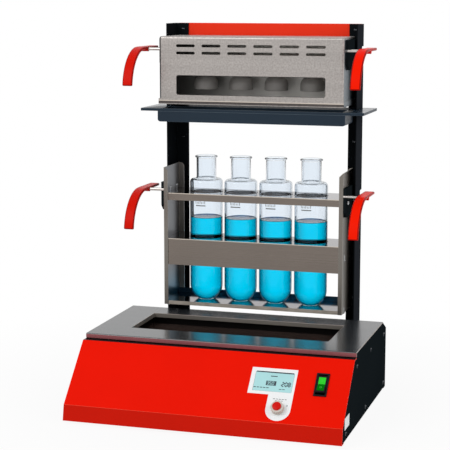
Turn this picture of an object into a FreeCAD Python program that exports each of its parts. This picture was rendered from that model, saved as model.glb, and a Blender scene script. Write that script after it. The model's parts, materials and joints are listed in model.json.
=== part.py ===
import FreeCAD, Part
import math
import os
import Sketcher

# Bench digester with an infrared well in a desk base, two rear columns, a drip tray, a suction hood
# and a rack of four vessels that hangs on the columns. Millimetres, +Z up, the front looks along -Y.

SIZES = [
    ("foot_height", 6, "gap under the base"),
    ("foot_radius", 9, "rubber foot at the top"),
    ("foot_taper_share", 0.85, "foot's radius on the bench over its radius at the top"),
    ("foot_inset", 42, "foot centre from the base's sides"),
    ("base_width", 490, "across the side panels"),
    ("base_sheet", 1.5, "sheet of the base's skins"),
    ("kick_length", 27.8, "lower strip of the front, along its face"),
    ("kick_angle", 78.8, "lower strip above the horizontal, degrees"),
    ("slope_length", 130, "control slope along its face"),
    ("slope_angle", 45.6, "control slope above the horizontal, degrees"),
    ("slope_shelf", 13.8, "level step between the slope and the deck"),
    ("return_flange", 15, "edges folded under the base"),
    ("deck_depth", 238.6, "deck from front to rear"),
    ("deck_gap", 0.65, "gap under the deck's front edge"),
    ("deck_sheet", 2, "deck plate"),
    ("deck_flange", 8.6, "deck's folded front edge"),
    ("chamfer_run", 29.5, "sloped top of the rear cover"),
    ("chamfer_angle", 26.5, "sloped top of the rear cover, degrees"),
    ("chassis_sheet", 1.2, "inner chassis"),
    ("chassis_rise", 5.4, "chassis walls above the upper side screws"),
    ("well_half_width", 182, "deck opening to each side"),
    ("well_depth_y", 124, "deck opening from front to rear"),
    ("well_margin", 51.5, "deck behind the opening"),
    ("well_lip", 8, "deck edge folded down round the opening"),
    ("well_floor", 21, "glass ceramic below the deck's top"),
    ("liner_room", 6, "liner wall behind the folded lip"),
    ("liner_sheet", 1, "well liner"),
    ("liner_flange", 10, "liner flange under the deck"),
    ("liner_ledge", 14, "ledge that carries the glass ceramic"),
    ("glass_thickness", 4, "glass ceramic plate"),
    ("tube_radius", 6.5, "infrared quartz tube"),
    ("tube_pitch", 32, "between infrared tubes"),
    ("tube_drop", 17, "tube axis below the liner"),
    ("reflector_depth", 32, "reflector tray"),
    ("holder_width", 18, "ceramic tube holder along the tube"),
    ("holder_reach", 51.2, "ceramic tube holder to each side of the middle tube"),
    ("web_depth", 55, "column's side wall from front to rear"),
    ("column_half", 183.7, "column's outer wall from the middle"),
    ("column_flange", 26.8, "column's rear flange"),
    ("column_sheet", 2, "column sheet"),
    ("column_height", 670, "column top above the base's underside"),
    ("column_foot", 100, "height of the column's fixing tab"),
    ("tab_screw_low_share", 0.25, "tab's lower screw up the tab"),
    ("tab_screw_high_share", 0.8, "tab's upper screw up the tab"),
    ("flange_screw_share", 0.57, "flange screws across the rear flange"),
    ("flange_screw_low_share", 0.2299, "flange's lower screw up the column"),
    ("flange_screw_high_share", 0.6746, "flange's upper screw up the column"),
    ("bar_screw_drop", 11.2, "crossbar's screws below the column's top"),
    ("column_tab", 22, "width of the column's fixing tab"),
    ("notch_height", 24, "hook notch in the column"),
    ("notch_width", 16.5, "hook notch across the rear flange"),
    ("notch_depth", 14, "hook notch from the rear into the side wall"),
    ("notch_round", 3, "hook notch's corners"),
    ("hood_notch_share", 0.93925, "top of the hood's notch up the column"),
    ("rack_notch_share", 0.54045, "top of the rack's notch up the column"),
    ("crossbar_height", 40, "crossbar"),
    ("crossbar_depth", 14, "crossbar's folded depth"),
    ("screw_shank", 2, "small screw, radius"),
    ("screw_head", 3.6, "small screw's head, radius"),
    ("screw_head_height", 2, "small screw's head"),
    ("screw_grip", 5, "small screw under its head"),
    ("fit_gap", 0.3, "clearance between loose fitting parts"),
    ("hole_gap", 0.1, "clearance round a screw or rod"),
    ("turn_gap", 0.05, "running clearance"),
    ("cut_over", 4, "overrun of a cut"),
    ("tray_wing", 27.3, "drip tray's wings outside the columns"),
    ("tray_front", 124.6, "tray front ahead of the column plane"),
    ("tray_rear", 2.6, "tray rear ahead of the column plane"),
    ("tray_share", 0.7694, "tray's top up the column"),
    ("tray_edge", 5, "tray's folded edge"),
    ("tray_sheet", 2, "tray sheet"),
    ("trough_room", 6.3, "trough inside the columns' outer walls"),
    ("trough_rim", 7.5, "tray's rim inside the trough's outline"),
    ("trough_depth_y", 66, "trough from front to rear"),
    ("trough_drop", 19.5, "trough below the tray's edge"),
    ("trough_corner", 5, "rounded lower corners of the trough"),
    ("rack_room", 11.7, "rack inside the columns' outer walls"),
    ("rack_front", 108.3, "rack front ahead of the column plane"),
    ("hook_front", 108.6, "front of the hook plates ahead of the column plane"),
    ("rack_depth", 87.2, "rack from front to rear"),
    ("rack_bottom_share", 0.21194, "rack's lowest edge up the column"),
    ("rack_top_share", 0.60269, "rack's top up the column"),
    ("shelf_screw_front_share", 0.22, "front shelf screws along the rack's depth"),
    ("shelf_screw_rear_share", 0.78, "rear shelf screws along the rack's depth"),
    ("rack_sheet", 1.5, "rack sheet"),
    ("front_lip", 7.7, "side plate's front flange"),
    ("rear_lip", 11.5, "side plate's rear flange"),
    ("lip_chamfer", 8, "cut top corner of the front flange"),
    ("lip_round", 8, "rounded top corner of the rear flange"),
    ("top_shelf_share", 0.53075, "top shelf's surface up the column"),
    ("top_band", 13.5, "top shelf's front band"),
    ("middle_shelf_share", 0.40149, "middle shelf's surface up the column"),
    ("middle_band", 50, "middle shelf's front band"),
    ("bottom_shelf_share", 0.22239, "bottom shelf's surface up the column"),
    ("bottom_band", 7, "bottom shelf's front band"),
    ("upstand", 9, "bottom shelf's rear upstand"),
    ("seat_radius", 14, "hole that seats a vessel's round bottom"),
    ("vessel_pitch", 68, "between vessels"),
    ("vessel_radius", 31, "vessel body"),
    ("vessel_wall", 2.4, "vessel glass"),
    ("vessel_share", 0.41493, "vessel from bottom to lip over the column's height"),
    ("vessel_set", 63.4, "vessel axis ahead of the column plane"),
    ("neck_radius", 18, "vessel neck"),
    ("neck_length", 43, "vessel neck below the lip"),
    ("shoulder_height", 12, "vessel shoulder"),
    ("lip_radius", 20.5, "vessel lip"),
    ("lip_height", 4, "vessel lip"),
    ("liquid_share", 0.57914, "liquid's level up the vessel"),
    ("shelf_gap", 0.9, "clearance round a vessel in its shelf"),
    ("hook_thickness", 5, "hook plate"),
    ("hook_height", 53.6, "hook plate"),
    ("hook_over", 14, "hook plate above the notch's top"),
    ("hook_nose", 9.5, "cut lower front corner of the hook plate"),
    ("hook_reach", 9, "hook behind the column's flange"),
    ("hook_angle", 25, "underside of the hook, degrees"),
    ("hook_clear", 13, "arm stops this far ahead of the column plane"),
    ("tongue_height", 14, "tongue in the notch"),
    ("rod_radius", 3, "handle rod"),
    ("rack_rod_drop", 14.6, "rack's handle rod below the hook plate's top"),
    ("hood_rod_drop", 19.3, "hood's handle rod below the hook plate's top"),
    ("rod_set", 2, "rod's axis behind the hook plate's front edge"),
    ("hook_screw_front", 74.5, "hook plate's front screw ahead of the column plane"),
    ("hook_screw_rear", 36, "hook plate's rear screw ahead of the column plane"),
    ("hook_screw_drop", 15.6, "hook plate's screws below its top"),
    ("grip_out", 16.3, "grip's inner face outside the column"),
    ("grip_width", 19, "grip across"),
    ("grip_thickness", 5, "grip band"),
    ("grip_rise", 3.5, "band's top above the rod's axis"),
    ("grip_tail", 54.6, "straight band behind the rod"),
    ("grip_lead", 16.4, "straight band ahead of the rod"),
    ("grip_bend", 76, "outer radius of the grip's bend"),
    ("grip_angle", 84, "angle of the grip's bend, degrees"),
    ("grip_boss", 4.6, "boss round the rod"),
    ("hood_room", 10.1, "hood inside the columns' outer walls"),
    ("hood_front", 124.6, "hood front ahead of the column plane"),
    ("hood_depth", 101.6, "hood from front to rear"),
    ("hood_share", 0.78239, "hood's lower edge up the column"),
    ("hood_height", 123.8, "hood"),
    ("hood_sheet", 1.2, "hood sheet"),
    ("hood_round", 4, "hood's rounded front edges"),
    ("hem_height", 10, "hood's hemmed lower edge"),
    ("hem_proud", 1.2, "hem outside the hood's wall"),
    ("slot_length", 36, "hood slot"),
    ("slot_height", 5.2, "hood slot"),
    ("slot_rise", 106.8, "upper slot row above the hood's lower edge"),
    ("slot_row_pitch", 13.2, "between the slot rows"),
    ("window_side", 33.1, "hood window from the hood's sides"),
    ("window_rise", 16.8, "hood window above the hood's lower edge"),
    ("window_height", 36.4, "hood window"),
    ("window_round", 4, "hood window's corners"),
    ("cap_radius", 22, "suction cap"),
    ("cap_height", 26, "suction cap"),
    ("cap_rise", 24.8, "suction cap's rim above the hood's lower edge"),
    ("cap_wall", 2, "suction cap"),
    ("pipe_radius", 12, "manifold pipe"),
    ("pipe_wall", 1.5, "manifold pipe"),
    ("pipe_rise", 79.8, "manifold pipe above the hood's lower edge"),
    ("pipe_over", 26, "manifold pipe beyond the outer caps"),
    ("stub_radius", 7, "manifold branch"),
    ("nozzle_radius", 8, "hose nozzle"),
    ("nozzle_bore", 5.5, "hose nozzle"),
    ("nozzle_length", 22, "hose nozzle behind its collar"),
    ("nozzle_collar", 13, "hose nozzle's collar, radius"),
    ("nozzle_collar_length", 5, "hose nozzle's collar"),
    ("label_thickness", 0.4, "front label"),
    ("label_side", 171.7, "label's left edge from the panel's right edge"),
    ("label_width", 79.5, "label across"),
    ("label_bottom", 52, "label's lower edge up the slope"),
    ("label_height", 50, "label up the slope"),
    ("lobe_radius", 21.4, "label's lobe round the jog knob"),
    ("screen_inset", 7.7, "display from the label's left edge"),
    ("jog_up", 25.5, "jog knob's axis up the slope"),
    ("screen_width", 67, "display"),
    ("screen_height", 36, "display"),
    ("screen_up", 58, "display's lower edge up the slope"),
    ("screen_thickness", 1.9, "display glass"),
    ("screen_board", 6, "board behind the display"),
    ("screen_margin", 6, "display board beyond its glass"),
    ("bushing_radius", 4.5, "encoder bushing"),
    ("bushing_length", 3, "encoder bushing ahead of the panel"),
    ("encoder_size", 14, "encoder body"),
    ("encoder_depth", 7, "encoder body"),
    ("shaft_radius", 3, "encoder shaft"),
    ("shaft_length", 5.6, "encoder shaft ahead of the panel"),
    ("jog_radius", 10.5, "jog ring"),
    ("jog_height", 9, "jog ring"),
    ("jog_lift", 0.8, "jog ring above the label"),
    ("cap_key_radius", 7.4, "jog knob's push cap"),
    ("ring_floor", 4.7, "floor of the ring's recess above the ring's underside"),
    ("cap_key_proud", 4.6, "push cap above the ring"),
    ("press_travel", 1, "push cap's travel"),
    ("switch_width", 22.2, "switch bezel"),
    ("switch_height", 43.6, "switch bezel"),
    ("switch_side", 59.2, "switch bezel's left edge from the panel's right edge"),
    ("switch_up", 55.7, "switch bezel's lower edge up the slope"),
    ("bezel_proud", 2, "switch bezel ahead of the panel"),
    ("bezel_rim", 1.6, "switch bezel's rim outside the cut-out"),
    ("switch_wall", 1.2, "switch housing"),
    ("switch_depth", 18, "switch housing behind the panel"),
    ("rocker_axle_down", 4, "rocker's axle behind the panel's face"),
    ("rocker_face", 2.2, "pressed half of the rocker ahead of the panel"),
    ("rocker_skirt", 5, "rocker's ends"),
    ("rocker_keel", 10, "rocker's middle behind the panel's face"),
    ("rocker_tilt", 7, "rocker to each side, degrees"),
    ("rocker_pin", 1.6, "rocker axle, radius"),
    ("rocker_gap", 0.5, "clearance round the rocker"),
    ("axle_hold_share", 0.8, "axle's end in the housing's wall"),
    ("inlet_width", 30, "power inlet"),
    ("inlet_height", 23, "power inlet"),
    ("inlet_flange", 10, "power inlet's fixing ears"),
    ("inlet_plate", 3, "power inlet's flange"),
    ("inlet_depth", 20, "power inlet behind the cover"),
    ("inlet_room", 65.7, "power inlet's middle inside the right column's outer wall"),
    ("inlet_up", 48, "power inlet above the base's underside"),
    ("inlet_wall", 2.6, "power inlet's rim"),
    ("inlet_socket", 16, "power inlet's recess"),
    ("pin_length", 9, "power inlet's pins"),
    ("pin_thickness", 2, "power inlet's pins"),
    ("pin_width", 4, "power inlet's pins"),
    ("pin_pitch", 7, "power inlet's outer pins from the middle"),
    ("pin_rise", 1.4, "power inlet's middle pin above its centre, the outer pins below it"),
    ("louvre_width", 36, "rear louvre"),
    ("louvre_height", 3, "rear louvre"),
    ("louvre_pitch", 9, "between louvres"),
    ("louvre_side", 60, "louvre columns from the middle"),
    ("louvre_up", 34, "lowest louvre above the base's underside"),
    ("board_width", 150, "control board"),
    ("board_depth", 60, "control board"),
    ("board_thickness", 1.6, "control board"),
    ("board_rise", 8, "control board above the chassis"),
    ("relay_size", 22, "power relays on the board"),
    ("relay_pitch", 33, "between relays"),
    ("relay_start", 11, "first relay from the board's edge"),
    ("side_screw_top", 104.5, "upper row of side screws above the base's underside"),
    ("side_screw_low", 12.3, "lower row of side screws above the base's underside"),
    ("top_screw_front_share", 0.3028, "upper row's front screw along the base's depth"),
    ("top_screw_middle_share", 0.6182, "upper row's middle screw along the base's depth"),
    ("top_screw_rear_share", 0.9399, "upper row's rear screw along the base's depth"),
    ("low_screw_front_share", 0.0757, "lower row's front screw along the base's depth"),
    ("low_screw_middle_share", 0.5046, "lower row's middle screw along the base's depth"),
    ("low_screw_rear_share", 0.9462, "lower row's rear screw along the base's depth"),
]

os.makedirs("parts", exist_ok=True)
doc = FreeCAD.newDocument("block_digester")
sheet = doc.addObject("Spreadsheet::Sheet", "sizes")
for row, (name, value, note) in enumerate(SIZES, start=1):
    sheet.set("A%d" % row, name)
    sheet.set("B%d" % row, str(value))
    sheet.set("C%d" % row, note)
    sheet.setAlias("B%d" % row, name)
doc.recompute()


class Size:
    """A size with its value in millimetres or degrees and the formula that binds it to the sheet."""

    def __init__(self, value, formula):
        self.value = float(value)
        self.formula = formula

    def __add__(self, other):
        other = as_size(other)
        return Size(self.value + other.value, "(%s + %s)" % (self.formula, other.formula))

    def __sub__(self, other):
        other = as_size(other)
        return Size(self.value - other.value, "(%s - %s)" % (self.formula, other.formula))

    def __mul__(self, other):
        other = as_size(other)
        return Size(self.value * other.value, "(%s * %s)" % (self.formula, other.formula))

    def __truediv__(self, other):
        other = as_size(other)
        return Size(self.value / other.value, "(%s / %s)" % (self.formula, other.formula))

    def __neg__(self):
        return Size(-self.value, "(0 - %s)" % self.formula)

    def __radd__(self, other):
        return as_size(other) + self

    def __rsub__(self, other):
        return as_size(other) - self

    def __rmul__(self, other):
        return as_size(other) * self


def as_size(thing):
    return thing if isinstance(thing, Size) else Size(thing, repr(float(thing)))


def sine(angle):
    angle = as_size(angle)
    return Size(math.sin(math.radians(angle.value)), "sin(%s)" % angle.formula)


def cosine(angle):
    angle = as_size(angle)
    return Size(math.cos(math.radians(angle.value)), "cos(%s)" % angle.formula)


def tangent(angle):
    return sine(angle) / cosine(angle)


def root(square):
    return Size(math.sqrt(square.value), "sqrt(%s)" % square.formula)


class Sheet:
    """Reads the sheet's named cells as sizes."""

    def __getattr__(self, name):
        return Size(sheet.get(name), "sizes." + name)


S = Sheet()
NODES = {}

# Places that several pieces share
FRONT = -(S.kick_length * cosine(S.kick_angle) + S.slope_length * cosine(S.slope_angle) + S.slope_shelf
          + S.deck_depth + S.chamfer_run + S.web_depth + S.crossbar_depth) / 2
FLOOR = S.foot_height
KICK_Y = FRONT + S.kick_length * cosine(S.kick_angle)
KICK_Z = FLOOR + S.kick_length * sine(S.kick_angle)
SLOPE_Y = KICK_Y + S.slope_length * cosine(S.slope_angle)
SLOPE_Z = KICK_Z + S.slope_length * sine(S.slope_angle)
DECK_FRONT = SLOPE_Y + S.slope_shelf
DECK_REAR = DECK_FRONT + S.deck_depth
DECK_TOP = SLOPE_Z + S.deck_gap + S.deck_flange
DECK_UNDER = DECK_TOP - S.deck_sheet
REAR = DECK_REAR + S.chamfer_run
PLANE = REAR + S.web_depth
HALF = S.base_width / 2
INNER_HALF = HALF - S.base_sheet
LINER_LOW = DECK_TOP - S.well_floor - S.glass_thickness - S.liner_sheet
WELL_REAR = DECK_REAR - S.well_margin
WELL_FRONT = WELL_REAR - S.well_depth_y
WELL_MID = (WELL_FRONT + WELL_REAR) / 2
VESSEL_Y = PLANE - S.vessel_set
VESSEL_X = [S.vessel_pitch * step for step in (-1.5, -0.5, 0.5, 1.5)]
VESSEL_HEIGHT = S.column_height * S.vessel_share
LABEL_LEFT = HALF - S.label_side
SCREEN_LEFT = LABEL_LEFT + S.screen_inset
JOG_X = LABEL_LEFT + S.label_width - S.lobe_radius
SWITCH_LEFT = HALF - S.switch_side
SWITCH_X = SWITCH_LEFT + S.switch_width / 2
SWITCH_T = S.switch_up + S.switch_height / 2
INLET_X = S.column_half - S.inlet_room
INLET_Z = FLOOR + S.inlet_up
TRAY_HALF = S.column_half + S.tray_wing
TRAY_TOP = FLOOR + S.column_height * S.tray_share
TRAY_LOW = TRAY_TOP - S.tray_edge
TROUGH_HALF = S.column_half - S.trough_room
RACK_HALF = S.column_half - S.rack_room
RACK_LOW = FLOOR + S.column_height * S.rack_bottom_share
RACK_TOP = FLOOR + S.column_height * S.rack_top_share
RACK_NOTCH = FLOOR + S.column_height * S.rack_notch_share
HOOD_HALF = S.column_half - S.hood_room
HOOD_LOW = FLOOR + S.column_height * S.hood_share
HOOD_NOTCH = FLOOR + S.column_height * S.hood_notch_share
GRIP_INNER = S.column_half + S.grip_out
ZERO = as_size(0)


def bind(thing, prop, size):
    thing.setExpression(prop, as_size(size).formula)


def new_body(label):
    body = doc.addObject("PartDesign::Body", label)
    body.Label = label
    NODES[label] = body
    return body


def on_slope(body):
    """Places a body whose own XY plane is the control slope's face, with its origin at the lower bend."""
    body.Placement = FreeCAD.Placement(FreeCAD.Vector(), FreeCAD.Rotation(FreeCAD.Vector(1, 0, 0), 45))
    bind(body, "Placement.Base.y", KICK_Y)
    bind(body, "Placement.Base.z", KICK_Z)
    bind(body, "Placement.Rotation.Angle", S.slope_angle)


def at_place(body, x, y, z):
    bind(body, "Placement.Base.x", x)
    bind(body, "Placement.Base.y", y)
    bind(body, "Placement.Base.z", z)


def sketch_on(body, role, height=0):
    """A sketch on one of the body's origin planes, moved along its normal."""
    sketch = body.newObject("Sketcher::SketchObject", "outline")
    plane = [item for item in body.Origin.OriginFeatures if item.Role == role][0]
    sketch.AttachmentSupport = [(plane, "")]
    sketch.MapMode = "FlatFace"
    bind(sketch, "AttachmentOffset.Base.z", height)
    return sketch


def pin_down(sketch, geometry, point, x, y):
    for kind, size in (("DistanceX", x), ("DistanceY", y)):
        size = as_size(size)
        index = sketch.addConstraint(Sketcher.Constraint(kind, -1, 1, geometry, point, size.value))
        sketch.setExpression("Constraints[%d]" % index, size.formula)


def fix_radius(sketch, geometry, radius):
    index = sketch.addConstraint(Sketcher.Constraint("Radius", geometry, radius.value))
    sketch.setExpression("Constraints[%d]" % index, radius.formula)


def loop(sketch, corners):
    """A closed outline. A corner (x, y, radius, cx, cy) is reached by an arc about (cx, cy)."""
    corners = [tuple(as_size(number) for number in corner) for corner in corners]
    ends = []
    for start, end in zip([corners[-1]] + corners[:-1], corners):
        a = FreeCAD.Vector(start[0].value, start[1].value, 0)
        b = FreeCAD.Vector(end[0].value, end[1].value, 0)
        if len(end) == 2:
            edge = sketch.addGeometry(Part.LineSegment(a, b), False)
            ends.append((edge, 1, 2))
            continue
        centre = FreeCAD.Vector(end[3].value, end[4].value, 0)
        circle = Part.Circle(centre, FreeCAD.Vector(0, 0, 1), end[2].value)
        first, last = circle.parameter(a), circle.parameter(b)
        forwards = (a - centre).cross(b - centre).z > 0
        if not forwards:
            first, last = last, first
        if last < first:
            last += 2 * math.pi
        edge = sketch.addGeometry(Part.ArcOfCircle(circle, first, last), False)
        ends.append((edge, 1, 2) if forwards else (edge, 2, 1))
        fix_radius(sketch, edge, end[2])
    for here, onward, corner in zip(ends, ends[1:] + ends[:1], corners):
        sketch.addConstraint(Sketcher.Constraint("Coincident", here[0], here[2], onward[0], onward[1]))
        pin_down(sketch, here[0], here[2], corner[0], corner[1])


def ring(sketch, x, y, radius):
    x, y, radius = as_size(x), as_size(y), as_size(radius)
    circle = Part.Circle(FreeCAD.Vector(x.value, y.value, 0), FreeCAD.Vector(0, 0, 1), radius.value)
    edge = sketch.addGeometry(circle, False)
    fix_radius(sketch, edge, radius)
    pin_down(sketch, edge, 3, x, y)


def oblong(x0, x1, y0, y1):
    return [(x0, y0), (x1, y0), (x1, y1), (x0, y1)]


def soft_oblong(x0, x1, y0, y1, r):
    """A rectangle with rounded corners, from low x and y to high x and y."""
    return [(x0 + r, y0, r, x0 + r, y0 + r), (x1 - r, y0), (x1, y0 + r, r, x1 - r, y0 + r),
            (x1, y1 - r), (x1 - r, y1, r, x1 - r, y1 - r),
            (x0 + r, y1), (x0, y1 - r, r, x0 + r, y1 - r),
            (x0, y0 + r)]


def slot(x0, x1, y0, y1):
    """A slot with round ends."""
    r = (y1 - y0) / 2
    return [(x0 + r, y0, r, x0 + r, y0 + r), (x1 - r, y0), (x1, y0 + r, r, x1 - r, y0 + r),
            (x1 - r, y1, r, x1 - r, y0 + r), (x0 + r, y1), (x0, y0 + r, r, x0 + r, y0 + r)]


def pad(body, sketch, depth, both=False):
    feature = body.newObject("PartDesign::Pad", "pad")
    feature.Profile = sketch
    if both:
        feature.SideType = "Symmetric"
    bind(feature, "Length", depth)
    return feature


def cut(body, sketch, depth, both=False):
    """A pocket that has to take material away."""
    doc.recompute()
    before = body.Shape.Volume
    feature = body.newObject("PartDesign::Pocket", "cut")
    feature.Profile = sketch
    if both:
        feature.SideType = "Symmetric"
    bind(feature, "Length", depth)
    doc.recompute()
    if not body.Shape.Volume < before * 0.999999:
        raise RuntimeError("A cut in %s takes nothing away" % body.Label)
    return feature


def block(body, x0, x1, y0, y1, z0, z1):
    sketch = sketch_on(body, "XY_Plane", z0)
    loop(sketch, oblong(x0, x1, y0, y1))
    return pad(body, sketch, as_size(z1) - z0)


def hollow(body, x0, x1, y0, y1, z0, z1):
    sketch = sketch_on(body, "XY_Plane", z1)
    loop(sketch, oblong(x0, x1, y0, y1))
    return cut(body, sketch, as_size(z1) - z0)


def slab(body, corners, x0, x1):
    """An outline in the YZ plane made solid between two places along X."""
    sketch = sketch_on(body, "YZ_Plane", (x0 + x1) / 2)
    loop(sketch, corners)
    depth = x1 - x0
    return pad(body, sketch, depth if depth.value > 0 else -depth, both=True)


def bore_x(body, places, radius, x, depth):
    sketch = sketch_on(body, "YZ_Plane", x)
    for y, z in places:
        ring(sketch, y, z, radius)
    return cut(body, sketch, depth, both=True)


def bore_y(body, places, radius, y, depth):
    sketch = sketch_on(body, "XZ_Plane", -as_size(y))
    for x, z in places:
        ring(sketch, x, z, radius)
    return cut(body, sketch, depth, both=True)


def bore_z(body, places, radius, z, depth):
    sketch = sketch_on(body, "XY_Plane", z)
    for x, y in places:
        ring(sketch, x, y, radius)
    return cut(body, sketch, depth, both=True)


def turned(body, corners):
    """An outline of radii and heights turned about the body's Z axis."""
    sketch = sketch_on(body, "XZ_Plane")
    loop(sketch, corners)
    feature = body.newObject("PartDesign::Revolution", "turned")
    feature.Profile = sketch
    feature.ReferenceAxis = (sketch, ["V_Axis"])
    feature.Angle = 360
    return feature


def soften(body, radius, wanted):
    """Rounds the edges whose middle point passes the test."""
    doc.recompute()
    tip = body.Tip
    names = []
    for number, edge in enumerate(tip.Shape.Edges, start=1):
        middle = edge.valueAt((edge.FirstParameter + edge.LastParameter) / 2)
        if wanted(middle, edge):
            names.append("Edge%d" % number)
    if not names:
        raise RuntimeError("No edge of %s is rounded" % body.Label)
    feature = body.newObject("PartDesign::Fillet", "soft_edges")
    feature.Base = (tip, names)
    bind(feature, "Radius", radius)
    doc.recompute()
    return feature


def repeat_both_ways(body, first, sketch, across, columns, along, rows, downwards=False):
    """Repeats a cut in the sketch's plane, in columns to the right and in rows upwards or downwards."""
    pattern = body.newObject("PartDesign::LinearPattern", "rows")
    pattern.Originals = [first]
    pattern.Direction = (sketch, ["H_Axis"])
    bind(pattern, "Length", across)
    pattern.Occurrences = columns
    pattern.Direction2 = (sketch, ["V_Axis"])
    pattern.Reversed2 = downwards
    bind(pattern, "Length2", along)
    pattern.Occurrences2 = rows
    body.Tip = pattern


def near(number, size, share=0.02):
    return abs(number - as_size(size).value) < share


TURNS = {
    "+z": FreeCAD.Rotation(),
    "-z": FreeCAD.Rotation(FreeCAD.Vector(1, 0, 0), 180),
    "+x": FreeCAD.Rotation(FreeCAD.Vector(0, 1, 0), 90),
    "-x": FreeCAD.Rotation(FreeCAD.Vector(0, 1, 0), -90),
    "+y": FreeCAD.Rotation(FreeCAD.Vector(1, 0, 0), -90),
    "-y": FreeCAD.Rotation(FreeCAD.Vector(1, 0, 0), 90),
}
BACKWARDS = {"+x": "-x", "-x": "+x", "+y": "-y", "-y": "+y", "+z": "-z", "-z": "+z"}


def rod(x, y, z, radius, length, towards):
    shape = doc.addObject("Part::Cylinder", "rod")
    shape.Placement = FreeCAD.Placement(FreeCAD.Vector(), TURNS[towards])
    at_place(shape, as_size(x), as_size(y), as_size(z))
    bind(shape, "Radius", radius)
    bind(shape, "Height", length)
    return shape


def joined(first, second, label=None):
    shape = doc.addObject("Part::Fuse", label or "joined")
    shape.Base = first
    shape.Tool = second
    return shape


def screw(x, y, z, towards, extra=0):
    """A small screw whose head sits on the point and whose shank runs the given way."""
    head = rod(x, y, z, S.screw_head, S.screw_head_height, BACKWARDS[towards])
    shank = rod(x, y, z, S.screw_shank, S.screw_grip + extra, towards)
    return joined(head, shank)


def group(label, shapes):
    """Separate solids that share one node."""
    compound = doc.addObject("Part::Compound", label)
    compound.Links = shapes
    compound.Label = label
    NODES[label] = compound
    return compound


def keep(label, shape):
    shape.Label = label
    NODES[label] = shape
    return shape


def folded(path, angles, thickness):
    """A closed outline of a folded sheet whose outer face follows the path. The sheet turns to the
    right at each bend, and angles gives the direction of each straight in degrees."""
    inner = []
    steps = [angles[0]] + angles + [angles[-1]]
    for (y, z), before, after in zip(path, steps, steps[1:]):
        scale = thickness / (1 + sine(before) * sine(after) + cosine(before) * cosine(after))
        inner.append((y + scale * (sine(before) + sine(after)),
                      z - scale * (cosine(before) + cosine(after))))
    return path + inner[::-1], inner


# Outer skin of the base
FRONT_ANGLES = [as_size(180), S.kick_angle, S.slope_angle, as_size(0)]
FRONT_PATH = [(FRONT + S.return_flange, FLOOR), (FRONT, FLOOR), (KICK_Y, KICK_Z), (SLOPE_Y, SLOPE_Z),
              (DECK_FRONT + S.return_flange, SLOPE_Z)]
FRONT_SKIN, FRONT_INNER = folded(FRONT_PATH, FRONT_ANGLES, S.base_sheet)
CHAMFER_Z = DECK_UNDER - S.chamfer_run * tangent(S.chamfer_angle)
REAR_ANGLES = [-S.chamfer_angle, as_size(-90), as_size(180)]
REAR_PATH = [(DECK_REAR, DECK_UNDER), (REAR, CHAMFER_Z), (REAR, FLOOR), (REAR - S.return_flange, FLOOR)]
REAR_SKIN, REAR_INNER = folded(REAR_PATH, REAR_ANGLES, S.base_sheet)
PAN_LOW = FLOOR + S.base_sheet
SIDE_SCREWS = [(FRONT + (REAR - FRONT) * share, FLOOR + height) for share, height in (
    (S.top_screw_front_share, S.side_screw_top), (S.top_screw_middle_share, S.side_screw_top),
    (S.top_screw_rear_share, S.side_screw_top), (S.low_screw_front_share, S.side_screw_low),
    (S.low_screw_middle_share, S.side_screw_low), (S.low_screw_rear_share, S.side_screw_low))]


def front_panel():
    body = new_body("front_panel")
    slab(body, FRONT_SKIN, -HALF, HALF)
    sketch = sketch_on(body, "XY_Plane")
    sketch.AttachmentOffset = FreeCAD.Placement(FreeCAD.Vector(), FreeCAD.Rotation(FreeCAD.Vector(1, 0, 0), 45))
    bind(sketch, "AttachmentOffset.Base.y", KICK_Y)
    bind(sketch, "AttachmentOffset.Base.z", KICK_Z)
    bind(sketch, "AttachmentOffset.Rotation.Angle", S.slope_angle)
    loop(sketch, oblong(SCREEN_LEFT - S.fit_gap, SCREEN_LEFT + S.screen_width + S.fit_gap,
                        S.screen_up - S.fit_gap, S.screen_up + S.screen_height + S.fit_gap))
    loop(sketch, oblong(SWITCH_LEFT + S.bezel_rim, SWITCH_LEFT + S.switch_width - S.bezel_rim,
                        S.switch_up + S.bezel_rim, S.switch_up + S.switch_height - S.bezel_rim))
    ring(sketch, JOG_X, S.jog_up, S.bushing_radius + S.hole_gap)
    cut(body, sketch, S.cut_over, both=True)
    for side in (-1, 1):
        hollow(body, (INNER_HALF - S.hole_gap) * side, (HALF + S.cut_over) * side,
               DECK_FRONT + S.deck_sheet - S.hole_gap, DECK_FRONT + S.return_flange + S.cut_over,
               SLOPE_Z - S.cut_over, SLOPE_Z + S.cut_over)


def side_panel(label, side):
    body = new_body(label)
    under = REAR_INNER[0]
    drop = (DECK_UNDER - under[1]) / tangent(S.chamfer_angle)
    deck_in = DECK_FRONT + S.deck_sheet
    corners = [(FRONT_INNER[1][0], PAN_LOW), FRONT_INNER[2], FRONT_INNER[3],
               (deck_in, FRONT_INNER[3][1]), (deck_in, DECK_UNDER), (under[0] - drop, DECK_UNDER),
               REAR_INNER[1], (REAR_INNER[2][0], PAN_LOW)]
    slab(body, corners, HALF * side, INNER_HALF * side)
    bore_x(body, SIDE_SCREWS, S.screw_shank + S.hole_gap, HALF * side, S.cut_over)


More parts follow.
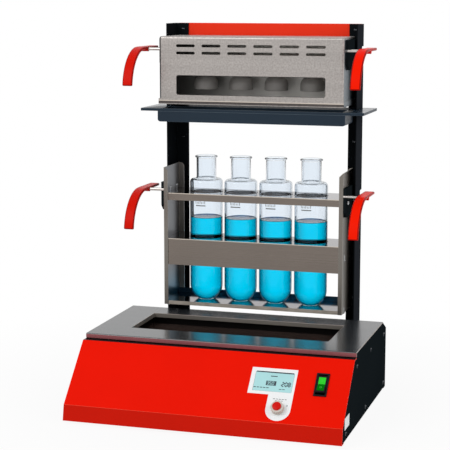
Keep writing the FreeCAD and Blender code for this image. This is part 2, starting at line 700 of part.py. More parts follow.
def rear_cover():
    body = new_body("rear_cover")
    slab(body, REAR_SKIN, -HALF, HALF)
    sketch = sketch_on(body, "XZ_Plane", -REAR)
    x0 = -S.louvre_side - S.louvre_width / 2
    z0 = FLOOR + S.louvre_up
    loop(sketch, slot(x0, x0 + S.louvre_width, z0, z0 + S.louvre_height))
    first = cut(body, sketch, S.cut_over, both=True)
    repeat_both_ways(body, first, sketch, S.louvre_side * 2, 3, S.louvre_pitch * 5, 6)
    sketch = sketch_on(body, "XZ_Plane", -REAR)
    loop(sketch, oblong(INLET_X - S.inlet_width / 2 - S.fit_gap, INLET_X + S.inlet_width / 2 + S.fit_gap,
                        INLET_Z - S.inlet_height / 2 - S.fit_gap, INLET_Z + S.inlet_height / 2 + S.fit_gap))
    for x, z in TAB_SCREWS:
        ring(sketch, x, z, S.screw_shank + S.hole_gap)
    cut(body, sketch, S.cut_over, both=True)


def top_plate():
    body = new_body("top_plate")
    block(body, -HALF, HALF, DECK_FRONT, DECK_REAR, DECK_UNDER, DECK_TOP)
    block(body, -HALF, HALF, DECK_FRONT, DECK_FRONT + S.deck_sheet, DECK_TOP - S.deck_flange, DECK_UNDER)
    lip = S.deck_sheet
    block(body, -S.well_half_width - lip, S.well_half_width + lip, WELL_FRONT - lip, WELL_REAR + lip,
          DECK_TOP - S.well_lip, DECK_UNDER)
    hollow(body, -S.well_half_width, S.well_half_width, WELL_FRONT, WELL_REAR,
           DECK_TOP - S.well_lip - S.cut_over, DECK_TOP + S.cut_over)
    soften(body, S.deck_sheet, lambda middle, edge: near(middle.z, DECK_TOP) and near(middle.y, DECK_FRONT))


def well_liner():
    body = new_body("well_liner")
    wall = S.deck_sheet + S.liner_room
    x = S.well_half_width + wall
    front = WELL_FRONT - wall
    rear = WELL_REAR + wall
    sheet_ = S.liner_sheet
    flange = sheet_ + S.liner_flange
    block(body, -x - flange, x + flange, front - flange, rear + flange, DECK_UNDER - sheet_, DECK_UNDER)
    block(body, -x - sheet_, x + sheet_, front - sheet_, rear + sheet_, LINER_LOW, DECK_UNDER - sheet_)
    hollow(body, -x, x, front, rear, LINER_LOW + sheet_, DECK_UNDER + S.cut_over)
    ledge = S.liner_ledge
    hollow(body, -x + ledge, x - ledge, front + ledge, rear - ledge, LINER_LOW - S.cut_over,
           LINER_LOW + S.cut_over)


def glass_ceramic_plate():
    body = new_body("glass_ceramic_plate")
    wall = S.deck_sheet + S.liner_room - S.fit_gap
    x = S.well_half_width + wall
    block(body, -x, x, WELL_FRONT - wall, WELL_REAR + wall, LINER_LOW + S.liner_sheet,
          LINER_LOW + S.liner_sheet + S.glass_thickness)


TUBE_ROWS = [WELL_MID + S.tube_pitch * step for step in (-1, 0, 1)]
TUBE_Z = LINER_LOW - S.tube_drop
HOLDER_IN = S.well_half_width - S.liner_ledge - S.holder_width


def infrared_tubes():
    tubes = []
    reach = HOLDER_IN + S.holder_width
    for y in TUBE_ROWS:
        tubes.append(rod(-reach, y, TUBE_Z, S.tube_radius, reach * 2, "+x"))
    group("infrared_tubes", tubes)


def tube_holder(label, side):
    body = new_body(label)
    reach = S.holder_reach
    block(body, HOLDER_IN * side, (HOLDER_IN + S.holder_width) * side, WELL_MID - reach, WELL_MID + reach,
          LINER_LOW - S.reflector_depth + S.liner_sheet, LINER_LOW - S.liner_sheet)
    middle = (HOLDER_IN + S.holder_width / 2) * side
    bore_x(body, [(y, TUBE_Z) for y in TUBE_ROWS], S.tube_radius + S.hole_gap, middle,
           S.holder_width + S.cut_over)


def reflector_tray():
    body = new_body("reflector_tray")
    x = S.well_half_width
    half = S.well_depth_y / 2
    low = LINER_LOW - S.reflector_depth
    block(body, -x, x, WELL_MID - half, WELL_MID + half, low, LINER_LOW)
    wall = S.liner_sheet
    hollow(body, -x + wall, x - wall, WELL_MID - half + wall, WELL_MID + half - wall, low + wall,
           LINER_LOW + S.cut_over)


def chassis_tray():
    body = new_body("chassis_tray")
    front = FRONT_INNER[1][0] + S.base_sheet
    rear = REAR_INNER[2][0] - S.base_sheet
    high = FLOOR + S.side_screw_top + S.chassis_rise
    kick = FRONT_INNER[2][0] + S.base_sheet * 2
    slope = kick + (high - KICK_Z) / tangent(S.slope_angle)
    corners = [(front, PAN_LOW), (rear, PAN_LOW), (rear, high), (slope, high), (kick, KICK_Z)]
    slab(body, corners, -INNER_HALF, INNER_HALF)
    wall = INNER_HALF - S.chassis_sheet
    hollow(body, -wall, wall, front - S.cut_over, rear + S.cut_over, PAN_LOW + S.chassis_sheet,
           high + S.cut_over)
    for side in (-1, 1):
        bore_x(body, SIDE_SCREWS, S.screw_shank + S.hole_gap, INNER_HALF * side, S.cut_over)


def rubber_feet():
    feet = []
    for x in (S.foot_inset - HALF, HALF - S.foot_inset):
        for y in (FRONT + S.foot_inset, REAR - S.foot_inset):
            foot = doc.addObject("Part::Cone", "foot")
            at_place(foot, x, y, ZERO)
            bind(foot, "Radius1", S.foot_radius * S.foot_taper_share)
            bind(foot, "Radius2", S.foot_radius)
            bind(foot, "Height", PAN_LOW)
            feet.append(foot)
    group("rubber_feet", feet)


def side_screws():
    shapes = []
    for side, towards in ((-1, "+x"), (1, "-x")):
        for y, z in SIDE_SCREWS:
            shapes.append(screw(HALF * side, y, z, towards))
    group("side_screws", shapes)


def control_board():
    body = new_body("control_board")
    low = PAN_LOW + S.chassis_sheet
    x0 = -HALF + S.foot_inset
    x1 = x0 + S.board_width
    y0 = WELL_FRONT - S.board_depth / 2
    y1 = y0 + S.board_depth
    leg = S.board_rise
    top = low + S.board_rise + S.board_thickness
    block(body, x0, x1, y0, y1, low + S.board_rise, top)
    for x in (x0, x1 - leg):
        for y in (y0, y1 - leg):
            block(body, x, x + leg, y, y + leg, low, low + S.board_rise)
    for step in range(3):
        x = x0 + S.relay_start + S.relay_pitch * step
        block(body, x, x + S.relay_size, y0 + leg, y0 + leg + S.relay_size, top, top + S.relay_size)


def display_screen():
    body = new_body("display_screen")
    left = SCREEN_LEFT
    back = -S.base_sheet
    margin = S.screen_margin
    block(body, left, left + S.screen_width, S.screen_up, S.screen_up + S.screen_height, back,
          back + S.screen_thickness)
    block(body, left - margin, left + S.screen_width + margin, S.screen_up - margin,
          S.screen_up + S.screen_height + margin, back - S.screen_board, back)
    on_slope(body)


def panel_label():
    body = new_body("panel_label")
    sketch = sketch_on(body, "XY_Plane")
    left = LABEL_LEFT
    right = left + S.label_width
    lobe = S.lobe_radius
    low = S.label_bottom
    loop(sketch, [(left, low), (JOG_X - lobe, low), (JOG_X - lobe, S.jog_up),
                  (JOG_X, S.jog_up - lobe, lobe, JOG_X, S.jog_up), (right, S.jog_up, lobe, JOG_X, S.jog_up),
                  (right, low + S.label_height), (left, low + S.label_height)])
    loop(sketch, oblong(SCREEN_LEFT - S.fit_gap, SCREEN_LEFT + S.screen_width + S.fit_gap,
                        S.screen_up - S.fit_gap, S.screen_up + S.screen_height + S.fit_gap))
    ring(sketch, JOG_X, S.jog_up, S.bushing_radius + S.fit_gap)
    pad(body, sketch, S.label_thickness)
    on_slope(body)


def encoder_body():
    body = new_body("encoder_body")
    half = S.encoder_size / 2
    back = -S.base_sheet
    block(body, JOG_X - half, JOG_X + half, S.jog_up - half, S.jog_up + half, back - S.encoder_depth, back)
    for radius, top in ((S.bushing_radius, S.bushing_length), (S.shaft_radius, S.shaft_length)):
        sketch = sketch_on(body, "XY_Plane", back)
        ring(sketch, JOG_X, S.jog_up, radius)
        pad(body, sketch, top - back)
    on_slope(body)


RING_LOW = S.label_thickness + S.jog_lift
RING_TOP = RING_LOW + S.jog_height
RING_FLOOR = RING_LOW + S.ring_floor


def jog_ring():
    body = new_body("jog_ring")
    sketch = sketch_on(body, "XY_Plane", RING_LOW)
    ring(sketch, JOG_X, S.jog_up, S.jog_radius)
    pad(body, sketch, S.jog_height)
    bore_z(body, [(JOG_X, S.jog_up)], S.shaft_radius + S.turn_gap, RING_LOW + S.jog_height / 2,
           S.jog_height + S.cut_over)
    sketch = sketch_on(body, "XY_Plane", RING_TOP)
    ring(sketch, JOG_X, S.jog_up, S.cap_key_radius + S.turn_gap)
    cut(body, sketch, RING_TOP - RING_FLOOR)
    sketch = sketch_on(body, "XY_Plane", S.bushing_length + S.fit_gap)
    ring(sketch, JOG_X, S.jog_up, S.bushing_radius + S.fit_gap)
    cut(body, sketch, S.bushing_length + S.fit_gap)
    on_slope(body)


def jog_cap():
    body = new_body("jog_cap")
    low = RING_FLOOR + S.press_travel + S.hole_gap
    sketch = sketch_on(body, "XY_Plane", low)
    ring(sketch, JOG_X, S.jog_up, S.cap_key_radius)
    pad(body, sketch, RING_TOP + S.cap_key_proud - low)
    soften(body, S.press_travel, lambda middle, edge: near(middle.z, RING_TOP + S.cap_key_proud))
    on_slope(body)


def switch_housing():
    body = new_body("switch_housing")
    left = SWITCH_LEFT
    right = left + S.switch_width
    low = S.switch_up
    high = low + S.switch_height
    rim = S.bezel_rim + S.hole_gap
    wall = rim + S.switch_wall
    block(body, left, right, low, high, ZERO, S.bezel_proud)
    block(body, left + rim, right - rim, low + rim, high - rim, -S.switch_depth, ZERO)
    hollow(body, left + wall, right - wall, low + wall, high - wall, -S.switch_depth + S.switch_wall,
           S.bezel_proud + S.cut_over)
    bore_x(body, [(SWITCH_T, -S.rocker_axle_down)], S.rocker_pin + S.turn_gap, SWITCH_X,
           S.switch_width + S.cut_over)
    on_slope(body)


def rocker_key():
    body = new_body("rocker_key")
    wall = S.bezel_rim + S.hole_gap + S.switch_wall
    face = S.rocker_face
    swing = S.rocker_tilt * 2
    room = S.switch_height / 2 - wall - S.rocker_gap
    half = (room - (face + S.rocker_axle_down) * sine(swing)) * cosine(swing)
    rise = half * tangent(swing)
    corners = [(SWITCH_T - half, face + rise), (SWITCH_T - half, face + rise - S.rocker_skirt),
               (SWITCH_T, -S.rocker_keel), (SWITCH_T + half, face - S.rocker_skirt),
               (SWITCH_T + half, face), (SWITCH_T, face)]
    wide = S.switch_width / 2 - wall - S.rocker_gap / 2
    slab(body, corners, SWITCH_X - wide, SWITCH_X + wide)
    sketch = sketch_on(body, "YZ_Plane", SWITCH_X)
    ring(sketch, SWITCH_T, -S.rocker_axle_down, S.rocker_pin)
    pad(body, sketch, (wide + S.rocker_gap / 2 + S.switch_wall * S.axle_hold_share) * 2, both=True)
    on_slope(body)


def power_inlet():
    body = new_body("power_inlet")
    x = INLET_X
    half = S.inlet_width / 2
    tall = S.inlet_height / 2
    ear = S.inlet_flange
    block(body, x - half - ear, x + half + ear, REAR, REAR + S.inlet_plate, INLET_Z - tall - S.inlet_wall,
          INLET_Z + tall + S.inlet_wall)
    block(body, x - half, x + half, REAR - S.inlet_depth, REAR, INLET_Z - tall, INLET_Z + tall)
    wall = S.inlet_wall
    mouth = REAR + S.inlet_plate
    floor = mouth - S.inlet_socket
    hollow(body, x - half + wall, x + half - wall, floor, mouth + S.cut_over, INLET_Z - tall + wall,
           INLET_Z + tall - wall)
    for step, rise in ((-1, -S.pin_rise), (0, S.pin_rise), (1, -S.pin_rise)):
        middle = x + S.pin_pitch * step
        level = INLET_Z + rise
        block(body, middle - S.pin_thickness / 2, middle + S.pin_thickness / 2, floor, floor + S.pin_length,
              level - S.pin_width / 2, level + S.pin_width / 2)


BAR_LOW = FLOOR + S.column_height - S.crossbar_height
FLANGE_X = S.column_half - S.column_flange * S.flange_screw_share
BAR_SCREWS = [(FLANGE_X * side, FLOOR + S.column_height - S.bar_screw_drop) for side in (-1, 1)]
FLANGE_SCREWS = [(FLANGE_X * side, FLOOR + S.column_height * share)
                 for side in (-1, 1) for share in (S.flange_screw_high_share, S.flange_screw_low_share)]
TAB_SCREWS = [((S.column_half - S.column_tab / 2) * side, FLOOR + S.column_foot * share)
              for side in (-1, 1) for share in (S.tab_screw_low_share, S.tab_screw_high_share)]


def column(label, side):
    body = new_body(label)
    out = S.column_half * side
    web = (S.column_half - S.column_sheet) * side
    flange = (S.column_half - S.column_flange) * side
    sheet_ = S.column_sheet
    sketch = sketch_on(body, "XY_Plane", FLOOR)
    loop(sketch, [(out, REAR), (out, PLANE), (flange, PLANE), (flange, PLANE - sheet_), (web, PLANE - sheet_),
                  (web, REAR)])
    pad(body, sketch, S.column_height)
    block(body, web, (S.column_half - S.column_tab) * side, REAR, REAR + sheet_, FLOOR, FLOOR + S.column_foot)
    sketch = sketch_on(body, "YZ_Plane", (S.column_half - S.notch_width / 2) * side)
    for top in (HOOD_NOTCH, RACK_NOTCH):
        loop(sketch, soft_oblong(PLANE - S.notch_depth, PLANE + S.cut_over * 2, top - S.notch_height, top,
                                 S.notch_round))
    cut(body, sketch, S.notch_width, both=True)
    sketch = sketch_on(body, "YZ_Plane", (S.column_half - S.column_sheet / 2) * side)
    loop(sketch, oblong(REAR - S.cut_over, PLANE - S.web_depth / 2, TRAY_LOW, TRAY_LOW + S.tray_edge + S.fit_gap))
    cut(body, sketch, S.column_sheet + S.turn_gap, both=True)
    own = [(x, z) for x, z in BAR_SCREWS + FLANGE_SCREWS if x.value * side > 0]
    bore_y(body, own, S.screw_shank + S.hole_gap, PLANE, S.cut_over * 2)
    own = [(x, z) for x, z in TAB_SCREWS if x.value * side > 0]
    bore_y(body, own, S.screw_shank + S.hole_gap, REAR, S.cut_over * 2)


def crossbar():
    body = new_body("crossbar")
    sheet_ = S.column_sheet
    top = BAR_LOW + S.crossbar_height
    rear = PLANE + S.crossbar_depth
    corners = [(PLANE, BAR_LOW), (PLANE, top), (rear, top), (rear, top - sheet_), (PLANE + sheet_, top - sheet_),
               (PLANE + sheet_, BAR_LOW + sheet_), (rear, BAR_LOW + sheet_), (rear, BAR_LOW)]
    slab(body, corners, -S.column_half, S.column_half)
    bore_y(body, BAR_SCREWS, S.screw_shank + S.hole_gap, PLANE, S.cut_over * 2)


def column_screws():
    shapes = [screw(x, PLANE - S.column_sheet, z, "+y") for x, z in BAR_SCREWS + FLANGE_SCREWS]
    shapes += [screw(x, REAR + S.column_sheet, z, "-y") for x, z in TAB_SCREWS]
    group("column_screws", shapes)


def tray_plate():
    body = new_body("tray_plate")
    front = PLANE - S.tray_front
    rear = PLANE - S.tray_rear
    top = TRAY_TOP
    block(body, -TRAY_HALF, TRAY_HALF, front, rear, TRAY_LOW, top)
    wall = S.tray_sheet
    for side in (-1, 1):
        hollow(body, (S.column_half + S.fit_gap * 3 + wall) * side, (TRAY_HALF - wall) * side, front + wall,
               rear - wall, TRAY_LOW - S.cut_over, top - wall)
        hollow(body, (S.column_half - S.column_sheet - S.fit_gap) * side, (S.column_half + S.fit_gap) * side,
               PLANE - S.web_depth / 2 - S.fit_gap, rear + S.cut_over, TRAY_LOW - S.cut_over, top + S.cut_over)
    rim = S.trough_rim
    hollow(body, -TROUGH_HALF + rim, TROUGH_HALF - rim, front + rim, front + S.trough_depth_y - rim,
           TRAY_LOW - S.cut_over, top + S.cut_over)
    hollow(body, -TROUGH_HALF + rim, TROUGH_HALF - rim, front + S.trough_depth_y + wall, rear - wall,
           TRAY_LOW - S.cut_over, top - wall)
    for side in (-1, 1):
        edge_x = TRAY_HALF * side
        soften(body, S.tray_sheet, lambda middle, edge: near(middle.x, edge_x) and near(middle.y, front)
               and abs(edge.tangentAt(edge.FirstParameter).z) > 0.9)


def tray_trough():
    body = new_body("tray_trough")
    front = PLANE - S.tray_front
    rear = front + S.trough_depth_y
    low = TRAY_LOW - S.trough_drop
    wall = S.tray_sheet
    block(body, -TROUGH_HALF, TROUGH_HALF, front, rear, low, TRAY_LOW)
    soften(body, S.trough_corner, lambda middle, edge: near(abs(middle.x), TROUGH_HALF) and near(middle.z, low))
    hollow(body, -TROUGH_HALF + wall, TROUGH_HALF - wall, front + wall, rear - wall,
           low + S.trough_corner, TRAY_LOW + S.cut_over)
    hollow(body, -TROUGH_HALF + S.trough_corner, TROUGH_HALF - S.trough_corner, front + wall, rear - wall,
           low + wall, low + S.trough_corner)


RACK_FRONT = PLANE - S.rack_front
RACK_REAR = RACK_FRONT + S.rack_depth
SHELF_FRONT = RACK_FRONT + S.rack_sheet
SHELF_REAR = RACK_REAR - S.rack_sheet
SHELF_HALF = RACK_HALF - S.rack_sheet
SHELVES = {"top": (FLOOR + S.column_height * S.top_shelf_share, S.top_band),
           "middle": (FLOOR + S.column_height * S.middle_shelf_share, S.middle_band),
           "bottom": (FLOOR + S.column_height * S.bottom_shelf_share, S.bottom_band)}
RACK_SCREWS = {name: [(RACK_FRONT + S.rack_depth * share, surface - band / 2 - S.rack_sheet / 2)
                      for share in (S.shelf_screw_front_share, S.shelf_screw_rear_share)]
               for name, (surface, band) in SHELVES.items()}


def hook_holes(notch_top):
    """The places of a hook plate's screws in the YZ plane."""
    level = notch_top + S.hook_over - S.hook_screw_drop
    return [(PLANE - ahead, level) for ahead in (S.hook_screw_front, S.hook_screw_rear)]


def rack_side(label, side):
    body = new_body(label)
    out = RACK_HALF * side
    web = SHELF_HALF * side
    lip_front = (RACK_HALF - S.front_lip) * side
    lip_rear = (RACK_HALF - S.rear_lip) * side
    sheet_ = S.rack_sheet
    sketch = sketch_on(body, "XY_Plane", RACK_LOW)
    loop(sketch, [(lip_front, RACK_FRONT), (out, RACK_FRONT), (out, RACK_REAR), (lip_rear, RACK_REAR),
                  (lip_rear, RACK_REAR - sheet_), (web, RACK_REAR - sheet_), (web, RACK_FRONT + sheet_),
                  (lip_front, RACK_FRONT + sheet_)])
    top = RACK_TOP
    pad(body, sketch, top - RACK_LOW)
    chamfer = S.lip_chamfer - sheet_
    sketch = sketch_on(body, "XZ_Plane", -RACK_FRONT - sheet_ / 2)
    loop(sketch, [(lip_front, top - chamfer), (lip_front, top), (lip_front + chamfer * side, top)])
    cut(body, sketch, sheet_ * 2, both=True)
    soften(body, S.lip_round, lambda middle, edge: near(middle.x, lip_rear) and near(middle.z, top)
           and middle.y > RACK_REAR.value - 2 * sheet_.value)
    holes = [place for places in RACK_SCREWS.values() for place in places]
    bore_x(body, holes + hook_holes(RACK_NOTCH), S.screw_shank + S.hole_gap, out, S.cut_over)


def rack_shelf(label, name):
    top, band = SHELVES[name]
    body = new_body(label)
    low = top - band
    wall = S.rack_sheet
    block(body, -SHELF_HALF, SHELF_HALF, SHELF_FRONT, SHELF_REAR, low, top)
    hollow(body, -SHELF_HALF + wall, SHELF_HALF - wall, SHELF_FRONT + wall, SHELF_REAR - wall,
           low - S.cut_over, top - wall)
    radius = S.seat_radius if name == "bottom" else S.vessel_radius + S.shelf_gap
    bore_z(body, [(x, VESSEL_Y) for x in VESSEL_X], radius, top, S.cut_over)
    if name == "bottom":
        block(body, -SHELF_HALF, SHELF_HALF, SHELF_REAR - wall, SHELF_REAR, top, top + S.upstand)
    for side in (-1, 1):
        bore_x(body, RACK_SCREWS[name], S.screw_shank + S.hole_gap, SHELF_HALF * side, S.cut_over)


def hook_screws(wall, notch_top):
    """Screws that hold the hook plates from inside the side walls."""
    shapes = []
    for side, towards in ((-1, "-x"), (1, "+x")):
        for y, z in hook_holes(notch_top):
            shapes.append(screw(wall * side, y, z, towards))
    return shapes


def rack_screws():
    shapes = hook_screws(SHELF_HALF, RACK_NOTCH)
    for side, towards in ((-1, "+x"), (1, "-x")):
        for name, places in RACK_SCREWS.items():
            plate = S.hook_thickness if name == "top" else ZERO
            for y, z in places:
                shapes.append(screw((RACK_HALF + plate) * side, y, z, towards, plate))
    group("rack_screws", shapes)


def hook(label, side, half, notch_top, rod_place, holes):
    """A plate outside the side wall whose rear tongue drops behind the column's flange."""
    body = new_body(label)
    front = PLANE - S.hook_front
    arm = PLANE - S.hook_clear
    top = notch_top + S.hook_over
    low = top - S.hook_height
    seat = notch_top - S.notch_height
    slope = tangent(S.hook_angle)
    tip = PLANE + S.hook_reach
    corners = [(front, low + S.hook_nose), (front, top), (arm, top), (arm, seat + S.tongue_height),
               (tip, seat + S.tongue_height), (tip, seat + S.fit_gap - slope * S.hook_reach),
               (arm, seat + S.fit_gap + slope * S.hook_clear), (arm, low), (front + S.hook_nose, low)]
    slab(body, corners, half * side, (half + S.hook_thickness) * side)
    bore_x(body, [rod_place], S.rod_radius + S.hole_gap, half * side, S.hook_thickness * 2 + S.cut_over)
    bore_x(body, holes, S.screw_shank + S.hole_gap, half * side, S.hook_thickness * 2 + S.cut_over)


def handle_rod(label, side, half, place):
    towards = "+x" if side > 0 else "-x"
    y, z = place
    length = GRIP_INNER + S.grip_width - half - S.fit_gap
    keep(label, rod(half * side, y, z, S.rod_radius, length, towards))


def grip(label, side, place):
    """A flat band that runs over the rod and bends down in front."""
    body = new_body(label)
    y, z = place
    top = z + S.grip_rise
    under = top - S.grip_thickness
    rear = y + S.grip_tail
    bend = y - S.grip_lead
    outer = S.grip_bend
    inner = outer - S.grip_thickness
    centre = top - outer
    corners = [(rear, under), (rear, top), (bend, top),
               (bend - outer * sine(S.grip_angle), centre + outer * cosine(S.grip_angle), outer, bend, centre),
               (bend - inner * sine(S.grip_angle), centre + inner * cosine(S.grip_angle)),
               (bend, under, inner, bend, centre)]
    x0 = GRIP_INNER * side
    x1 = (GRIP_INNER + S.grip_width) * side
    slab(body, corners, x0, x1)
    sketch = sketch_on(body, "YZ_Plane", (x0 + x1) / 2)
    ring(sketch, y, z, S.grip_boss)
    pad(body, sketch, S.grip_width, both=True)
    bore_x(body, [(y, z)], S.rod_radius + S.hole_gap, (x0 + x1) / 2, S.grip_width + S.cut_over)


def vessel(number, x):
    body = new_body("vessel_%d" % number)
    r = S.vessel_radius
    wall = S.vessel_wall
    inner = r - wall
    high = VESSEL_HEIGHT
    neck = high - S.neck_length
    bow = S.shoulder_height
    turn = r - bow
    foot = neck - bow
    bore = S.neck_radius - wall
    turned(body, [(ZERO, ZERO), (r, r, r, ZERO, r), (r, foot), (turn, neck, bow, turn, foot),
                  (S.neck_radius, neck), (S.neck_radius, high - S.lip_height),
                  (S.lip_radius, high - S.lip_height), (S.lip_radius, high), (bore, high), (bore, neck - wall),
                  (turn, neck - wall), (inner, foot, bow - wall, turn, foot), (inner, r),
                  (ZERO, wall, inner, ZERO, r)])
    at_place(body, x, VESSEL_Y, VESSEL_LOW)
    liquid = new_body("liquid_%d" % number)
    inside = inner - S.hole_gap
    level = high * S.liquid_share
    turned(liquid, [(ZERO, wall + S.hole_gap), (inside, r, inside, ZERO, r), (inside, level),
                    (ZERO, level)])
    at_place(liquid, x, VESSEL_Y, VESSEL_LOW)


VESSEL_LOW = (SHELVES["bottom"][0] + S.fit_gap - S.vessel_radius
              + root(S.vessel_radius * S.vessel_radius - S.seat_radius * S.seat_radius))
HOOD_FRONT = PLANE - S.hood_front
HOOD_REAR = HOOD_FRONT + S.hood_depth
HOOD_TOP = HOOD_LOW + S.hood_height
PIPE_Z = HOOD_LOW + S.pipe_rise
CAP_LOW = HOOD_LOW + S.cap_rise
WINDOW_HALF = HOOD_HALF - S.window_side
WINDOW_LOW = HOOD_LOW + S.window_rise


def hood_shell():
    body = new_body("hood_shell")
    half = HOOD_HALF
    wall = S.hood_sheet
    block(body, -half, half, HOOD_FRONT, HOOD_REAR, HOOD_LOW, HOOD_TOP)
    soften(body, S.hood_round, lambda middle, edge: near(middle.z, HOOD_TOP)
           or near(middle.y, HOOD_FRONT) and near(abs(middle.x), half))
    hollow(body, -half + wall, half - wall, HOOD_FRONT + wall, HOOD_REAR - wall, HOOD_LOW - S.cut_over,
           HOOD_TOP - S.hood_round)
    inset = S.hood_round
    hollow(body, -half + inset, half - inset, HOOD_FRONT + inset, HOOD_REAR - inset, HOOD_TOP - S.hood_round,
           HOOD_TOP - wall)
    proud = S.hem_proud
    sketch = sketch_on(body, "XY_Plane", HOOD_LOW)
    loop(sketch, oblong(-half - proud, half + proud, HOOD_FRONT - proud, HOOD_REAR + proud))
    loop(sketch, oblong(-half + wall, half - wall, HOOD_FRONT + wall, HOOD_REAR - wall))
    pad(body, sketch, S.hem_height)
    sketch = sketch_on(body, "XZ_Plane", -HOOD_FRONT)
    loop(sketch, soft_oblong(-WINDOW_HALF, WINDOW_HALF, WINDOW_LOW,
                             WINDOW_LOW + S.window_height, S.window_round))
    cut(body, sketch, S.cut_over, both=True)
    sketch = sketch_on(body, "XZ_Plane", -HOOD_FRONT)
    x0 = -WINDOW_HALF
    z0 = HOOD_LOW + S.slot_rise - S.slot_height / 2
    loop(sketch, slot(x0, x0 + S.slot_length, z0, z0 + S.slot_height))
    first = cut(body, sketch, S.cut_over, both=True)
    repeat_both_ways(body, first, sketch, WINDOW_HALF * 2 - S.slot_length, 6, S.slot_row_pitch, 2, downwards=True)
    bore_y(body, [(ZERO, PIPE_Z)], S.stub_radius + S.hole_gap, HOOD_REAR, S.cut_over)
    for side in (-1, 1):
        bore_x(body, hook_holes(HOOD_NOTCH), S.screw_shank + S.hole_gap, half * side, S.cut_over)


def hood_manifold():
    body = new_body("hood_manifold")
    half = VESSEL_X[-1] + S.pipe_over
    sketch = sketch_on(body, "YZ_Plane")
    ring(sketch, VESSEL_Y, PIPE_Z, S.pipe_radius)
    pad(body, sketch, half * 2, both=True)
    cap_top = CAP_LOW + S.cap_height
    sketch = sketch_on(body, "XY_Plane", cap_top)
    for x in VESSEL_X:
        ring(sketch, x, VESSEL_Y, S.stub_radius)
    pad(body, sketch, PIPE_Z - cap_top)
    rear = HOOD_REAR + S.nozzle_collar_length / 2
    sketch = sketch_on(body, "XZ_Plane", -rear)
    ring(sketch, ZERO, PIPE_Z, S.stub_radius)
    pad(body, sketch, rear - VESSEL_Y)
    bore_x(body, [(VESSEL_Y, PIPE_Z)], S.pipe_radius - S.pipe_wall, ZERO, (half - S.pipe_wall) * 2)
    sketch = sketch_on(body, "XY_Plane", PIPE_Z)
    for x in VESSEL_X:
        ring(sketch, x, VESSEL_Y, S.stub_radius - S.pipe_wall)
    cut(body, sketch, PIPE_Z - cap_top + S.cut_over)
    sketch = sketch_on(body, "XZ_Plane", -VESSEL_Y)
    ring(sketch, ZERO, PIPE_Z, S.stub_radius - S.pipe_wall)
    cut(body, sketch, rear - VESSEL_Y + S.cut_over)


def suction_caps():
    r = S.cap_radius
    wall = S.cap_wall
    high = S.cap_height
    hole = S.stub_radius - S.pipe_wall
    bow = r - S.stub_radius
    bells = []
    for x in VESSEL_X:
        body = doc.addObject("PartDesign::Body", "bell")
        turned(body, [(r, ZERO), (r, high - bow), (S.stub_radius, high, bow, S.stub_radius, high - bow),
                      (hole, high), (hole, high - wall), (S.stub_radius, high - wall),
                      (r - wall, high - bow, bow - wall, S.stub_radius, high - bow), (r - wall, ZERO)])
        at_place(body, x, VESSEL_Y, CAP_LOW)
        bells.append(body)
    group("suction_caps", bells)


def extraction_nozzle():
    body = new_body("extraction_nozzle")
    collar = S.nozzle_collar_length
    length = collar + S.nozzle_length
    branch = S.stub_radius + S.hole_gap
    turned(body, [(branch, ZERO), (S.nozzle_collar, ZERO), (S.nozzle_collar, collar), (S.nozzle_radius, collar),
                  (S.nozzle_radius, length), (S.nozzle_bore, length), (S.nozzle_bore, collar / 2 + S.hole_gap),
                  (branch, collar / 2 + S.hole_gap)])
    body.Placement = FreeCAD.Placement(FreeCAD.Vector(), TURNS["+y"])
    at_place(body, ZERO, HOOD_REAR, PIPE_Z)


chassis_tray()
front_panel()
side_panel("side_panel_left", -1)
side_panel("side_panel_right", 1)
rear_cover()
top_plate()
well_liner()
glass_ceramic_plate()
infrared_tubes()
tube_holder("tube_holder_left", -1)
tube_holder("tube_holder_right", 1)
reflector_tray()
control_board()
display_screen()
panel_label()
encoder_body()
switch_housing()
power_inlet()
rubber_feet()
side_screws()
column("column_left", -1)
column("column_right", 1)
crossbar()
column_screws()
jog_ring()
jog_cap()
rocker_key()
tray_plate()
tray_trough()
rack_side("rack_side_left", -1)
rack_side("rack_side_right", 1)
for name in SHELVES:
    rack_shelf("rack_%s_shelf" % name, name)
rack_screws()
for number, x in enumerate(VESSEL_X, start=1):
    vessel(number, x)
hood_shell()
hood_manifold()
suction_caps()
extraction_nozzle()
group("hood_screws", hook_screws(HOOD_HALF - S.hood_sheet, HOOD_NOTCH))
for unit, half, notch_top, rod_drop, shelf_holes in (
        ("rack", RACK_HALF, RACK_NOTCH, S.rack_rod_drop, RACK_SCREWS["top"]),
        ("hood", HOOD_HALF, HOOD_NOTCH, S.hood_rod_drop, [])):
    place = (PLANE - S.hook_front + S.rod_set, notch_top + S.hook_over - rod_drop)
    for hand, side in (("left", -1), ("right", 1)):
        hook("%s_hook_%s" % (unit, hand), side, half, notch_top, place, hook_holes(notch_top) + shelf_holes)
        handle_rod("%s_rod_%s" % (unit, hand), side, half, place)
        grip("%s_grip_%s" % (unit, hand), side, place)

doc.recompute()
for item in doc.Objects:
    if "Invalid" in item.State or "Error" in item.State:
        raise RuntimeError("%s failed: %s" % (item.Label, item.State))
for label, item in NODES.items():
    if item.Shape.isNull() or not item.Shape.isValid():
        raise RuntimeError("%s has no valid shape" % label)
for label, item in NODES.items():
    item.Shape.exportStep("parts/%s.step" % label)
print("%d nodes written" % len(NODES))
